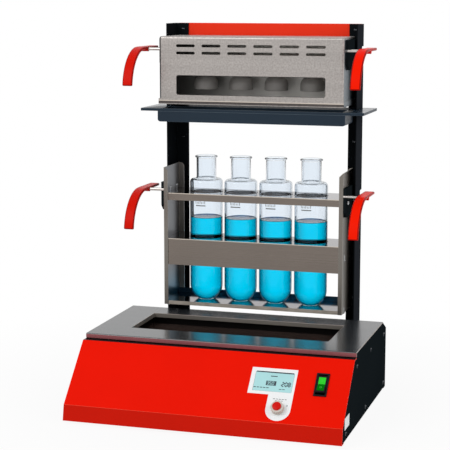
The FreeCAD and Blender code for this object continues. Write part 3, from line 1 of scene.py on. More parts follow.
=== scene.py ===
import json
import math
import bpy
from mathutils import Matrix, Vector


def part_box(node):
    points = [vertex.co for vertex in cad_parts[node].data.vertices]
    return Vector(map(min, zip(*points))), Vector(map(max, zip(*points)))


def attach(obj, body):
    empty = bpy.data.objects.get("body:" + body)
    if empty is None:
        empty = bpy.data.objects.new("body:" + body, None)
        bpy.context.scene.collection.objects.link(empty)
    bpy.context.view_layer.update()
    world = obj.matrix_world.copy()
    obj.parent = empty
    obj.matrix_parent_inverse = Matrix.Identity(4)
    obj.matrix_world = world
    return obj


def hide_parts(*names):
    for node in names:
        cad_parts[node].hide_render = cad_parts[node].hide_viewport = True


bl_info = {
    "name": "Block Digester",
    "version": (1, 0, 0),
    "blender": (4, 5, 0),
    "location": "View3D > Sidebar > Digester",
    "description": "Finished surfaces and small pieces for a bench block digester",
    "category": "Object",
}

import bpy
from mathutils import Matrix, Vector

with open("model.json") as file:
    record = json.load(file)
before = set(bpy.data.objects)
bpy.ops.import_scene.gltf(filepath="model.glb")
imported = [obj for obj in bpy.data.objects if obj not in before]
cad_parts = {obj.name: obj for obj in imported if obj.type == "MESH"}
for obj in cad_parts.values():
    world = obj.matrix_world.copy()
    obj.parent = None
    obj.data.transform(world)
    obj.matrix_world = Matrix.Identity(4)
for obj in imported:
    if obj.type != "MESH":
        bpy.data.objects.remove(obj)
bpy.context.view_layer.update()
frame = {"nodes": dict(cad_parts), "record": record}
NODES = frame["nodes"]
BODY_OF = {node: body for body, nodes in frame["record"]["behaviour"]["bodies"].items() for node in nodes}
MM = 0.001


def ink(red, green, blue):
    """A screen colour, 0 to 255 a channel, as linear light."""
    def channel(value):
        value /= 255
        return value / 12.92 if value <= 0.04045 else ((value + 0.055) / 1.055) ** 2.4
    return (channel(red), channel(green), channel(blue))


# The control slope's own axes: X across, Y up the slope, Z out of the panel
FOOT_HEIGHT = 6 * MM
KICK_LENGTH = 27.8 * MM
KICK_ANGLE = math.radians(78.8)
SLOPE_ANGLE = math.radians(45.6)
PANEL_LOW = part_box("front_panel")[0]
SLOPE = (Matrix.Translation((0, PANEL_LOW.y + KICK_LENGTH * math.cos(KICK_ANGLE),
                             FOOT_HEIGHT + KICK_LENGTH * math.sin(KICK_ANGLE)))
         @ Matrix.Rotation(SLOPE_ANGLE, 4, "X"))


# Sizes of what this file adds to the CAD's shapes
PRINT = 0.1 * MM  # thickness of a printed mark
SCREW_HEAD = 2 * MM
SCREW_SHANK = 2 * MM
PLATE_BACK = 18 * MM
PLATE_RISE = 18.5 * MM
PLATE_WIDTH = 36 * MM
PLATE_HEIGHT = 20 * MM
SCREEN_MARGIN = 6 * MM
ROCKER_FACE = 2.2 * MM
ROCKER_TILT = math.radians(7)
LENS_HALF = 6 * MM
LENS_LENGTH = 13.4 * MM
LENS_TOP = 0.5 * MM
BAR_END = 6 * MM
SCREW_LINE = 24 * MM  # before the columns' rear: tells their two kinds of screw apart
# half width of the painted shadow under the hood on the tray's top
HOOD_SHADOW_HALF = 171 * MM
# height of the painted highlight along the top of a shelf's front
SHELF_HIGHLIGHT = 1.3 * MM
# Heights on the hood's hem: painted shade from the foot up, then a painted highlight line, then plain steel to
# the hem's top
HEM_FOOT = 1.1 * MM
HEM_SHADE = 5.6 * MM
HEM_HIGHLIGHT = 7.2 * MM
HEM_TOP = 12 * MM
SHELL_DEPTH = 6 * MM  # faces this near to the hood's outside belong to its wall
# The window's opening, and the dark edging let into it as painted shade round its rim
WINDOW_HALF = 140.5 * MM
WINDOW_HEIGHT = 36.4 * MM
WINDOW_RISE = 16.8 * MM
WINDOW_ROUND = 4 * MM
WINDOW_SHADE_WIDTH = 0.7 * MM
BELL_WALL = 2 * MM
BELL_STUB = 7 * MM
GRIP_TURN = math.radians(84)
VESSEL_RADIUS = 31 * MM
NECK_RADIUS = 18.6 * MM
NECK_LENGTH = 43 * MM
SHOULDER_ROUND = 7.5 * MM
LIP_RADIUS = 21.2 * MM
LIP_BEAD = 2 * MM
HANDS = ("left", "right")

# The photograph's camera, fitted to the straight edges seen in it
CAMERA_AT = (0.7125, -2.4163, 0.7312)
CAMERA_DIP = math.radians(9.188)
CAMERA_TURN = math.radians(16.884)


# Mesh helpers

WELD = 0.01 * MM  # corners closer than this are one
FLAT = 0.98  # share of a normal along an axis, on a face square to it


def leave():
    bpy.ops.object.mode_set(mode="OBJECT")


def pick(*pieces):
    """Selects these pieces alone and makes the first one active."""
    if bpy.context.object and bpy.context.object.mode != "OBJECT":
        leave()
    bpy.ops.object.select_all(action="DESELECT")
    for piece in reversed(pieces):
        piece.select_set(True)
        bpy.context.view_layer.objects.active = piece


def choose_all():
    bpy.ops.mesh.select_all(action="SELECT")


def enter(piece):
    """Opens the piece in edit mode with all of it selected."""
    pick(piece)
    bpy.ops.object.mode_set(mode="EDIT")
    choose_all()


def choose_faces(piece, wanted):
    """Selects, in edit mode, the faces whose middle and normal pass the test."""
    leave()
    for face in piece.data.polygons:
        face.select = wanted(face.center, face.normal)
    bpy.ops.object.mode_set(mode="EDIT")


def settle(piece):
    """Puts the piece's place, turn and size into its mesh."""
    pick(piece)
    bpy.ops.object.transform_apply(location=True, rotation=True, scale=True)


def place(piece, matrix):
    piece.data.transform(matrix)
    piece.data.update()


def modify(piece, kind, **values):
    pick(piece)
    modifier = piece.modifiers.new(kind.lower(), kind)
    for key, value in values.items():
        setattr(modifier, key, value)
    bpy.ops.object.modifier_apply(modifier=modifier.name)


def smooth(piece, angle):
    """Shades the piece smooth over every edge blunter than the angle."""
    pick(piece)
    bpy.ops.object.shade_smooth_by_angle(angle=math.radians(angle))


def soften(piece, width, segments=2, angle=35, edge_slot=-1):
    """Rounds every edge sharper than the angle and shades the rest smooth."""
    modify(piece, "BEVEL", width=width, segments=segments, limit_method="ANGLE",
           angle_limit=math.radians(angle), harden_normals=False, material=edge_slot)
    smooth(piece, angle)
    modify(piece, "WEIGHTED_NORMAL", mode="FACE_AREA", weight=100, keep_sharp=True)


def recalculate(piece, fill=False):
    """Merges doubles, fills the open ends where that is asked, and turns every face outwards."""
    enter(piece)
    bpy.ops.mesh.remove_doubles(threshold=WELD)
    if fill:
        choose_all()
        bpy.ops.mesh.fill_holes(sides=0)
        choose_all()
    bpy.ops.mesh.normals_make_consistent(inside=False)
    leave()


def named(name):
    piece = bpy.context.object
    piece.name = name
    piece.data.name = name
    return piece


def brick(name, low, high):
    low, high = Vector(low), Vector(high)
    pick()
    bpy.ops.mesh.primitive_cube_add(size=1, location=(low + high) / 2)
    piece = named(name)
    piece.scale = high - low
    settle(piece)
    return piece


def drum(name, centre, radius, depth, turn=(0, 0, 0), sides=48):
    pick()
    bpy.ops.mesh.primitive_cylinder_add(vertices=sides, radius=radius, depth=depth, location=centre,
                                        rotation=turn)
    piece = named(name)
    settle(piece)
    return piece


def upright(name, width, height, at):
    """An upright rectangle that faces the front."""
    pick()
    bpy.ops.mesh.primitive_plane_add(size=1, rotation=(math.pi / 2, 0, 0))
    piece = named(name)
    piece.scale = (width, height, 1)
    settle(piece)
    place(piece, Matrix.Translation(at))
    return piece


def outline(piece):
    """Takes the face off a flat piece, and stays in edit mode with its edges selected."""
    enter(piece)
    bpy.ops.mesh.delete(type="ONLY_FACE")
    choose_all()


def traced(name, points):
    """A line of edges through the points, drawn from a single corner."""
    pick()
    bpy.ops.mesh.primitive_plane_add(size=MM, location=(0, 0, 0))
    piece = named(name)
    enter(piece)
    bpy.ops.mesh.merge(type="CENTER")
    start = Vector(points[0])
    bpy.ops.transform.translate(value=start)
    for point in points[1:]:
        bpy.ops.mesh.extrude_vertices_move(TRANSFORM_OT_translate={"value": Vector(point) - start})
        start = Vector(point)
    leave()
    return piece


def spun(name, profile, centre=(0, 0, 0), steps=64):
    """A profile of (radius, height) points spun about a vertical axis."""
    piece = traced(name, [(radius, 0, height) for radius, height in profile])
    enter(piece)
    bpy.ops.mesh.spin(steps=steps, angle=2 * math.pi, center=(0, 0, 0), axis=(0, 0, 1))
    leave()
    recalculate(piece)
    place(piece, Matrix.Translation(centre))
    smooth(piece, 40)
    return piece


def wrapped(name, radius, thickness, low, high, start, end, steps=8):
    """A thin patch bent round the vertical axis, between two azimuths in degrees."""
    piece = upright(name, thickness, high - low, (radius + thickness / 2, 0, (low + high) / 2))
    place(piece, Matrix.Rotation(math.radians(start), 4, "Z"))
    outline(piece)
    bpy.ops.mesh.spin(steps=steps, angle=-math.radians(end - start), center=(0, 0, 0), axis=(0, 0, 1))
    leave()
    recalculate(piece, fill=True)
    return piece


def arc(cx, cz, radius, start, end, steps):
    """Points on an arc, its angles in degrees from +X towards +Z."""
    turns = [math.radians(start + (end - start) * i / steps) for i in range(steps + 1)]
    return [(cx + radius * math.cos(turn), cz + radius * math.sin(turn)) for turn in turns]


def joined(pieces, name):
    pick(*pieces)
    if len(pieces) > 1:
        bpy.ops.object.join()
    return named(name)


def copy_of(piece, offset, turn=None):
    twin = piece.copy()
    twin.data = piece.data.copy()
    bpy.context.scene.collection.objects.link(twin)
    twin.data.transform(Matrix.Translation(offset) @ (turn or Matrix()))
    return twin


def reach(corners):
    """The lowest and the highest corner of a box round the points."""
    return tuple(Vector([end(corner[axis] for corner in corners) for axis in range(3)]) for end in (min, max))


def middle(box):
    return (box[0] + box[1]) / 2


def facing(direction):
    """The turn that takes +Z to the direction."""
    return Vector((0, 0, 1)).rotation_difference(Vector(direction)).to_matrix().to_4x4()


def cad_copy(node, name):
    """A clean copy of a CAD node: joined corners and whole flat faces."""
    piece = bpy.data.objects.new(name, NODES[node].data.copy())
    piece.data.name = name
    piece.data.materials.clear()
    bpy.context.scene.collection.objects.link(piece)
    enter(piece)
    bpy.ops.mesh.remove_doubles(threshold=WELD)
    bpy.ops.mesh.dissolve_limited(angle_limit=math.radians(0.5))
    leave()
    return piece


def loose_boxes(node):
    """The boxes of a CAD node's separate solids."""
    enter(cad_copy(node, "probe"))
    bpy.ops.mesh.separate(type="LOOSE")
    leave()
    found = []
    for part in list(bpy.context.selected_objects):
        found.append(reach([vertex.co for vertex in part.data.vertices]))
        bpy.data.objects.remove(part)
    return sorted(found, key=lambda box: tuple(round(value, 4) for value in box[0]))


def dress(piece, node, finish=None, replaces=True):
    """Gives the piece its finish, unless it has its own, and the body of the node that it stands for."""
    if finish:
        piece.data.materials.clear()
        piece.data.materials.append(FINISHES[finish])
    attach(piece, BODY_OF[node])
    if replaces:
        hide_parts(node)
    return piece


def rounded(node, name, finish, width=0.35 * MM, segments=2, edge=None, angle=35, cuts=()):
    """A node's own shape with rounded edges, in a finish, and in another one on the edges if it is named."""
    piece = cad_copy(node, name)
    for key in (finish, edge) if edge else (finish,):
        piece.data.materials.append(FINISHES[key])
    for height in cuts:
        divide(piece, (0, 0, height), (0, 0, 1))
    soften(piece, width, segments, angle, 1 if edge else -1)
    return dress(piece, node)


def rounded_nodes(rows):
    """Each row: a node, its finish, its edges' rounding, bevel segments and, if it differs, their finish."""
    for node, finish, width, segments, *edge in rows:
        rounded(node, node + "_skin", finish, width, segments, edge=edge[0] if edge else None)


def divide(piece, at, normal, clear_outer=False):
    """Cuts the faces along a plane, and takes off what lies beyond it where that is asked."""
    enter(piece)
    bpy.ops.mesh.bisect(plane_co=at, plane_no=normal, clear_outer=clear_outer, use_fill=clear_outer)
    leave()


def repaint(piece, finish, wanted):
    """Gives the faces that pass the test another finish."""
    slot = len(piece.data.materials)
    piece.data.materials.append(FINISHES[finish])
    for face in piece.data.polygons:
        if wanted(face.center, face.normal):
            face.material_index = slot


def finish_node(node, finish):
    """Gives a CAD node that keeps its own mesh its finish."""
    slots = NODES[node].data.materials
    slots.clear()
    slots.append(FINISHES[finish])


def socket_screw(radius, length):
    """A button-head screw: its head's underside at the origin, its shank down, a six-sided socket on top."""
    dome = arc(0, 0, radius, 12, 62, 5)
    scale = SCREW_HEAD / dome[-1][1]
    profile = [(0, -length), (SCREW_SHANK * 0.7, -length), (SCREW_SHANK, -length + SCREW_SHANK * 0.4),
               (SCREW_SHANK, 0), (radius, 0)]
    profile += [(x, z * scale) for x, z in dome] + [(0, SCREW_HEAD)]
    piece = spun("screw_model", profile, steps=24)
    cutter = drum("socket_cutter", (0, 0, SCREW_HEAD), radius * 0.42, SCREW_HEAD * 1.1, sides=6)
    modify(piece, "BOOLEAN", operation="DIFFERENCE", object=cutter, solver="EXACT")
    bpy.data.objects.remove(cutter)
    smooth(piece, 35)
    return piece


def fit_screws(node, name, finish, head_at_high):
    """Puts a socket screw on each screw of a CAD node; the test says which end has the head."""
    model = None
    fitted = []
    for low, high in loose_boxes(node):
        size = high - low
        axis = max(range(3), key=lambda i: size[i])
        if model is None:
            model = socket_screw((sum(size) - size[axis]) / 4, size[axis] - SCREW_HEAD)
        seat = middle((low, high))
        up = head_at_high(seat)
        direction = [0, 0, 0]
        direction[axis] = 1 if up else -1
        seat[axis] = high[axis] - SCREW_HEAD if up else low[axis] + SCREW_HEAD
        fitted.append(copy_of(model, seat, facing(direction)))
    bpy.data.objects.remove(model)
    return dress(joined(fitted, name), node, finish)


# Shader nodes, and the shared effects as groups

def feed(tree, socket, value):
    """Links a socket to another one, or sets it to a number, a vector or a colour."""
    if isinstance(value, bpy.types.NodeSocket):
        tree.links.new(value, socket)
    elif socket.type == "RGBA":
        socket.default_value = (*value, 1)
    else:
        socket.default_value = value


def add_node(tree, kind, inputs, **settings):
    """A shader node with its settings, and its inputs linked or set."""
    node = tree.nodes.new("ShaderNode" + kind)
    for key, value in settings.items():
        setattr(node, key, value)
    for key, value in inputs.items():
        feed(tree, node.inputs[key], value)
    return node


def noise(tree, vector, scale, detail):
    inputs = {"Vector": vector, "Scale": scale, "Detail": detail, "Roughness": 0.55}
    return add_node(tree, "TexNoise", inputs).outputs["Fac"]


def spread(tree, value, low, high, to_low, to_high):
    """Takes a value from one range to another."""
    inputs = {"Value": value, "From Min": low, "From Max": high, "To Min": to_low, "To Max": to_high}
    return add_node(tree, "MapRange", inputs).outputs["Result"]


def reckon(tree, operation, first, second):
    return add_node(tree, "Math", {0: first, 1: second}, operation=operation).outputs["Value"]


def blend(tree, share, first, second, kind="MIX"):
    """Mixes two colours."""
    inputs = {"Factor": share, 6: first, 7: second}
    return add_node(tree, "Mix", inputs, data_type="RGBA", blend_type=kind).outputs[2]


def object_place(tree):
    return add_node(tree, "TexCoord", {}).outputs["Object"]


def new_group(name, inputs, *outputs):
    """An empty group: an input's default shows its kind, and only an output named Colour isn't a number."""
    tree = bpy.data.node_groups.new(name, "ShaderNodeTree")
    kinds = {1: "NodeSocketFloat", 3: "NodeSocketVector", 4: "NodeSocketColor"}
    for label, default in inputs.items():
        kind = kinds[len(default) if isinstance(default, tuple) else 1]
        tree.interface.new_socket(label, in_out="INPUT", socket_type=kind).default_value = default
    for label in outputs:
        kind = kinds[4 if label == "Colour" else 1]
        tree.interface.new_socket(label, in_out="OUTPUT", socket_type=kind)
    return tree, tree.nodes.new("NodeGroupInput").outputs, tree.nodes.new("NodeGroupOutput").inputs


def make_uneven_tone():
    """Broad, soft changes of a finish's tone."""
    tree, given, out = new_group("Uneven Tone", {"Colour": (1, 1, 1, 1), "Drift": 0.1, "Patches": 8.0},
                                 "Colour", "Mask")
    value = noise(tree, object_place(tree), given["Patches"], 4)
    gain = spread(tree, value, 0.3, 0.7, reckon(tree, "SUBTRACT", 1.0, given["Drift"]),
                  reckon(tree, "ADD", 1.0, given["Drift"]))
    grey = add_node(tree, "CombineColor", {"Red": gain, "Green": gain, "Blue": gain}).outputs["Color"]
    feed(tree, out["Colour"], blend(tree, 1.0, given["Colour"], grey, "MULTIPLY"))
    feed(tree, out["Mask"], value)


def make_fine_relief():
    """The fine, even relief of powder coat, enamel or moulded plastic."""
    tree, given, out = new_group("Fine Relief", {"Grain": 900.0}, "Height", "Mask")
    at = object_place(tree)
    fine = noise(tree, at, given["Grain"], 2)
    coarse = noise(tree, at, reckon(tree, "MULTIPLY", given["Grain"], 0.21), 2)
    feed(tree, out["Height"], reckon(tree, "ADD", fine, reckon(tree, "MULTIPLY", coarse, 0.6)))
    feed(tree, out["Mask"], spread(tree, coarse, 0.35, 0.65, 0.0, 1.0))


def make_brushed_lines():
    """Long fine lines along one axis, as on brushed sheet."""
    tree, given, out = new_group("Brushed Lines", {"Stretch": (4.0, 900.0, 900.0)}, "Lines", "Streaks")
    at = add_node(tree, "VectorMath", {0: object_place(tree), 1: given["Stretch"]},
                  operation="MULTIPLY").outputs["Vector"]
    feed(tree, out["Lines"], noise(tree, at, 1.0, 3))
    feed(tree, out["Streaks"], noise(tree, at, 0.12, 2))


def make_speckle():
    """Small darker and lighter flecks, as on grained steel sheet."""
    tree, given, out = new_group("Speckle", {"Flecks": 650.0}, "Mask", "Height")
    cells = add_node(tree, "TexVoronoi", {"Vector": object_place(tree), "Scale": given["Flecks"]})
    soft = noise(tree, object_place(tree), reckon(tree, "MULTIPLY", given["Flecks"], 0.7), 3)
    feed(tree, out["Mask"], spread(tree, soft, 0.32, 0.68, 0.0, 1.0))
    feed(tree, out["Height"], cells.outputs["Distance"])


def make_dust():
    """A thin veil on faces that look upwards."""
    tree, given, out = new_group("Dust", {"Amount": 0.1}, "Mask")
    normal = add_node(tree, "SeparateXYZ", {"Vector": add_node(tree, "TexCoord", {}).outputs["Normal"]})
    up = spread(tree, normal.outputs["Z"], 0.5, 1.0, 0.0, 1.0)
    patches = spread(tree, noise(tree, object_place(tree), 35.0, 5), 0.4, 0.7, 0.2, 1.0)
    veil = reckon(tree, "MULTIPLY", up, patches)
    feed(tree, out["Mask"], reckon(tree, "MULTIPLY", veil, given["Amount"]))


# Materials

class Finish:
    """A material being built round one Principled shader."""

    def __init__(self, name, **constants):
        self.material = bpy.data.materials.new(name)
        self.material.use_nodes = True
        self.tree = self.material.node_tree
        self.shader = self.tree.nodes["Principled BSDF"]
        self.give(**constants)

    def give(self, **values):
        """Sets or links the shader's sockets; an underscore stands for a space."""
        for key, value in values.items():
            feed(self.tree, self.shader.inputs[key.replace("_", " ")], value)

    def effect(self, name, **values):
        """A shared effect's outputs, with this material's own values."""
        return add_node(self.tree, "Group", values, node_tree=bpy.data.node_groups[name]).outputs

    def tone(self, colour, drift, patches):
        made = self.effect("Uneven Tone", Colour=colour, Drift=drift, Patches=patches)
        return made["Colour"], made["Mask"]

    def bump(self, height, strength):
        inputs = {"Strength": strength, "Distance": 0.1 * MM, "Height": height}
        self.give(Normal=add_node(self.tree, "Bump", inputs).outputs["Normal"])

    def done(self, colour, mask, low, high):
        """Links the colour, and the roughness between two levels."""
        self.give(Base_Color=colour, Roughness=spread(self.tree, mask, 0.3, 0.7, low, high))
        return self.material


def coated(name, colour, low, high, drift=0.05, relief=0.12, gloss=0.5, patches=7.0, grain=900.0, dust=0.0,
           **constants):
    """Paint, enamel, plastic or rubber: an even colour with fine relief and uneven gloss."""
    made = Finish(name, Specular_IOR_Level=gloss, **constants)
    tone, mask = made.tone(colour, drift, patches)
    fine = made.effect("Fine Relief", Grain=grain)
    if dust:
        tone = blend(made.tree, made.effect("Dust", Amount=dust)["Mask"], tone, ink(170, 168, 162))
    made.bump(fine["Height"], relief)
    return made.done(tone, fine["Mask"] if relief else mask, low, high)


def sheet_steel(name, colour, low, high, stretch, drift=0.06, lines=0.1, flecks=0.0, streaks=0.5):
    """Bare steel: brushed lines in one direction, with flecks where the sheet is grained."""
    made = Finish(name, Metallic=1.0)
    tone, _ = made.tone(colour, drift, 5.0)
    brushed = made.effect("Brushed Lines", Stretch=stretch)
    tone = blend(made.tree, spread(made.tree, brushed["Streaks"], 0.3, 0.75, 0.0, streaks), tone,
                 tuple(channel * 0.72 for channel in colour))
    height = brushed["Lines"]
    if flecks:
        speckle = made.effect("Speckle", Flecks=flecks)
        tone = blend(made.tree, reckon(made.tree, "MULTIPLY", speckle["Mask"], 0.6), tone,
                     tuple(channel * 0.5 for channel in colour))
        height = reckon(made.tree, "ADD", height, speckle["Height"])
    made.bump(height, lines)
    return made.done(tone, brushed["Lines"], low, high)


def steel_with_painted_shade(name, colour, far, axis, start, end, low, high):
    """Plain steel that turns from one tone to another along an axis: painted shade, with a painted reflection
    where the far tone is coloured.
    """
    made = Finish(name, Metallic=1.0)
    tone, mask = made.tone(colour, 0.12, 16.0)
    at = add_node(made.tree, "SeparateXYZ", {"Vector": object_place(made.tree)}).outputs[axis]
    share = spread(made.tree, at, start, end, 0.92, 0.0)
    return made.done(blend(made.tree, share, tone, far), mask, low, high)


def deck_enamel(colour):
    """Dark fired enamel over brushed sheet: its lines show faintly, painted lighter as a painted sheen on the
    grain.
    """
    made = Finish("Deck enamel", Specular_IOR_Level=1.0)
    tone, _ = made.tone(colour, 0.12, 5.0)
    lines = made.effect("Brushed Lines", Stretch=(6.0, 620.0, 620.0))["Lines"]
    # brushed lines painted lighter: grain with a painted sheen
    tone = blend(made.tree, spread(made.tree, lines, 0.4, 0.8, 0.0, 0.5), tone,
                 tuple(channel * 2.6 for channel in colour))
    made.bump(lines, 0.02)
    return made.done(tone, lines, 0.16, 0.26)


def clear_body(name, colour, edge, rim, ior, drift, patches, high, tint):
    """Glass or liquid that light passes through, with painted shade where its wall is seen edge on."""
    made = Finish(name, Transmission_Weight=1.0, IOR=ior, Specular_Tint=tint)
    tone, mask = made.tone(colour, drift, patches)
    # painted shade towards the edges, for the darker surroundings seen through them
    facing_away = add_node(made.tree, "LayerWeight", {"Blend": 0.5}).outputs["Facing"]
    share = spread(made.tree, facing_away, *rim, 0.0, 1.0)
    return made.done(blend(made.tree, share, tone, edge), mask, 0.0, high)


def lit(name, colour, strength, drift, patches, low, high):
    """Plastic or glass over a small lamp."""
    made = Finish(name, Emission_Strength=strength, Specular_IOR_Level=0.3)
    tone, mask = made.tone(colour, drift, patches)
    made.give(Emission_Color=tone)
    return made.done(tone, mask, low, high)


# Coats: colour or its setting, roughness from and to, drift of tone, relief, gloss, and what else differs
COATS = (
    ("red_paint", "Red powder coat", "panel_red", 0.34, 0.46, 0.03, 0.02, 0.03),
    # painted highlight on the bevels of the red folds
    ("red_edge", "Red paint on folds", (255, 104, 74), 0.3, 0.4, 0.05, 0.02, 0.15),
    # the panel's red, painted darker as shade on the steep lower strip
    ("red_shade", "Red powder coat of the lower strip", (210, 28, 12), 0.34, 0.46, 0.03, 0.02, 0.03),
    # the panel's red painted lighter on the crossbar, as painted light
    ("red_bar", "Red powder coat of the crossbar", (255, 56, 26), 0.34, 0.46, 0.02, 0.02, 0.12),
    ("black_paint", "Black powder coat", "side_black", 0.38, 0.46, 0.04, 0.01, 0.0),
    # the column black painted lighter on the outer web, as painted light
    ("column_web", "Column powder coat, outer web", (44, 47, 52), 0.38, 0.48, 0.05, 0.01, 0.0),
    ("column_black", "Column powder coat", "column_black", 0.38, 0.48, 0.05, 0.01, 0.0),
    # painted highlight on the deck's bevelled edges
    ("deck_line", "Worn enamel edge", (150, 138, 130), 0.25, 0.35, 0.2, 0.02, 0.5, ("patches", 30.0)),
    # painted reflection of the red slope on the deck's front flange
    ("deck_flange", "Deck flange enamel", (150, 82, 86), 0.24, 0.34, 0.12, 0.02, 0.3),
    ("deck_lip", "Deck lip enamel", (112, 107, 101), 0.3, 0.4, 0.12, 0.03, 0.3),
    # the well liner's own black, also used as painted shadow on the front panel's flat top
    ("liner_enamel", "Liner enamel", (9, 7, 7), 0.3, 0.42, 0.15, 0.05, 0.06),
    ("tray_line", "Tray enamel on edges", (66, 82, 94), 0.34, 0.42, 0.05, 0.04, 0.5),
    ("tray_enamel", "Tray enamel", "tray", 0.34, 0.42, 0.05, 0.03, 0.15, ("dust", 0.03)),
    ("tray_gloss", "Tray enamel on top", "tray", 0.16, 0.22, 0.05, 0.01, 0.2),
    # painted shadow and dark reflection on the tray's top under the hood
    ("tray_shade", "Tray enamel round the trough", (15, 17, 24), 0.4, 0.5, 0.1, 0.02, 0.02),
    ("grip_right", "Grip sleeve, right", "grip_red", 0.28, 0.36, 0.03, 0.01, 0.02, ("grain", 1200.0)),
    # the left grips' red, painted darker as shade
    ("grip_left", "Grip sleeve, left", (216, 22, 4), 0.28, 0.36, 0.03, 0.01, 0.04, ("grain", 1200.0)),
    # painted shade on the sleeves' rounded edges
    ("grip_edge", "Grip sleeve edge", (168, 14, 6), 0.3, 0.4, 0.03, 0.01, 0.05),
    ("glass_ceramic", "Glass ceramic", (60, 48, 44), 0.06, 0.12, 0.2, 0.02, 0.5, ("patches", 14.0),
     ("grain", 2500.0), ("Coat_Weight", 0.3)),
    ("quartz", "Frosted quartz", (228, 214, 196), 0.3, 0.5, 0.12, 0.12, 0.5, ("patches", 60.0)),
    ("ceramic", "Fired ceramic", (224, 218, 204), 0.6, 0.8, 0.06, 0.3, 0.5),
    ("circuit", "Circuit board", (22, 92, 56), 0.35, 0.5, 0.2, 0.12, 0.5, ("patches", 120.0)),
    ("label", "Label film", (247, 249, 250), 0.38, 0.5, 0.015, 0.03, 0.5),
    ("print", "Dark print", (38, 52, 62), 0.5, 0.6, 0.1, 0.0, 0.5),
    ("grey_print", "Grey print", (132, 136, 138), 0.5, 0.6, 0.06, 0.0, 0.5),
    ("rocker_print", "Rocker print", (70, 190, 64), 0.5, 0.6, 0.05, 0.0, 0.5),
    ("black_plastic", "Black moulding", (18, 16, 19), 0.34, 0.5, 0.08, 0.16, 0.12),
    ("rubber", "Foot rubber", (24, 24, 24), 0.65, 0.85, 0.15, 0.3, 0.5),
    ("knob_grey", "Knob skirt", (212, 210, 200), 0.32, 0.45, 0.05, 0.08, 0.5),
    ("knob_red", "Knob cap", "knob_red", 0.26, 0.36, 0.04, 0.04, 0.1),
    # the rocker's green painted darker on its lower half, as painted shade
    ("rocker_dark", "Rocker lower half", (4, 120, 12), 0.3, 0.4, 0.1, 0.02, 0.0),
    ("cap_polymer", "Suction cap", (158, 154, 150), 0.4, 0.55, 0.14, 0.08, 0.5, ("patches", 40.0)),
    # the seals' own black, also painted shade on the hood's left edge and window
    ("cap_seal", "Cap seal", (22, 20, 20), 0.5, 0.65, 0.12, 0.1, 0.5),
    ("nozzle", "Nozzle polymer", (196, 194, 188), 0.4, 0.55, 0.06, 0.1, 0.5),
)

# Bare steels: colour or its setting, roughness from and to, stretch of the brushed lines, and what else differs
STEELS = (
    ("dark_screw", "Blackened screw steel", (74, 76, 80), 0.3, 0.42, (150.0, 150.0, 150.0), ("drift", 0.15)),
    ("hood_steel", "Grained hood steel", "hood_steel", 0.3, 0.42, (14.0, 500.0, 500.0), ("flecks", 420.0),
     ("lines", 0.16)),
    # painted shade on the band of the hem
    ("hem_steel", "Shaded hem steel", (92, 86, 84), 0.3, 0.4, (14.0, 500.0, 500.0), ("flecks", 420.0)),
    # the hood's steel painted darker on its outer sides, as painted shade
    ("hood_side", "Shaded side steel", (118, 127, 134), 0.3, 0.42, (14.0, 500.0, 500.0), ("flecks", 420.0)),
    # painted highlight on bevelled steel edges
    ("bright_edge", "Polished steel edge", (206, 196, 184), 0.3, 0.42, (60.0, 60.0, 60.0)),
    ("plate_steel", "Brushed plate steel", (122, 117, 111), 0.32, 0.42, (300.0, 300.0, 6.0), ("drift", 0.04),
     ("lines", 0.03), ("streaks", 0.08)),
    ("rack_steel", "Brushed rack steel", "rack_steel", 0.24, 0.34, (5.0, 700.0, 700.0), ("lines", 0.05),
     ("streaks", 0.2)),
    ("shelf_steel", "Polished shelf steel", (116, 112, 114), 0.08, 0.14, (5.0, 700.0, 700.0), ("lines", 0.01),
     ("streaks", 0.1)),
    ("shelf_shade", "Shaded shelf lip", (36, 58, 72), 0.3, 0.4, (5.0, 700.0, 700.0)),
    ("rod_steel", "Drawn rod steel", (184, 178, 174), 0.08, 0.16, (900.0, 60.0, 60.0), ("lines", 0.01)),
    ("zinc", "Zinc plate", (178, 180, 182), 0.28, 0.42, (120.0, 120.0, 120.0), ("drift", 0.15)),
)

FINISHES = {}


def make_finishes(colours):
    for maker in (make_uneven_tone, make_fine_relief, make_brushed_lines, make_speckle, make_dust):
        maker()
    for maker, rows in ((coated, COATS), (sheet_steel, STEELS)):
        for key, name, colour, *values in rows:
            plain_values = [value for value in values if not is_extra(value)]
            extras = dict(value for value in values if is_extra(value))
            FINISHES[key] = maker(name, shade(colours, colour), *plain_values, **extras)
    FINISHES.update({
        "deck_enamel": deck_enamel(shade(colours, "deck")),
        # the hood's inside, with painted shade darkening towards the left
        "hood_inside": steel_with_painted_shade("Plain inner steel", ink(222, 219, 214), ink(86, 85, 83),
                                   "X", -0.16, 0.02, 0.5, 0.62),
        # the rack plates' inner faces, with painted shade and a painted blue reflection lower down
        "plate_inner": steel_with_painted_shade("Plate steel, inner faces", ink(98, 100, 104), ink(36, 104, 132),
                                   "Z", 0.16, 0.22, 0.28, 0.38),
        # glass and liquid get darker towards their edges: painted shade
        "glass": clear_body("Borosilicate glass", ink(241, 246, 251), ink(80, 92, 102), (0.48, 0.88),
                            1.47, 0.01, 20.0, 0.01, ink(150, 160, 170)),
        "liquid": clear_body("Blue liquid", shade(colours, "liquid"), ink(0, 12, 52), (0.02, 0.29),
                             1.33, 0.04, 12.0, 0.02, ink(40, 90, 130)),
        "screen": lit("Lit display", shade(colours, "screen"), 0.18, 0.03, 30.0, 0.2, 0.26),
        "rocker": lit("Lit rocker", shade(colours, "rocker"), 0.3, 0.12, 70.0, 0.18, 0.28),
    })


def is_extra(value):
    """Whether an entry of a row is a named value."""
    return isinstance(value, tuple) and isinstance(value[0], str)


def shade(colours, colour):
    """A colour from its setting's name or from its screen levels."""
    return tuple(getattr(colours, colour)) if isinstance(colour, str) else ink(*colour)


# Sizes and colours that a user would change

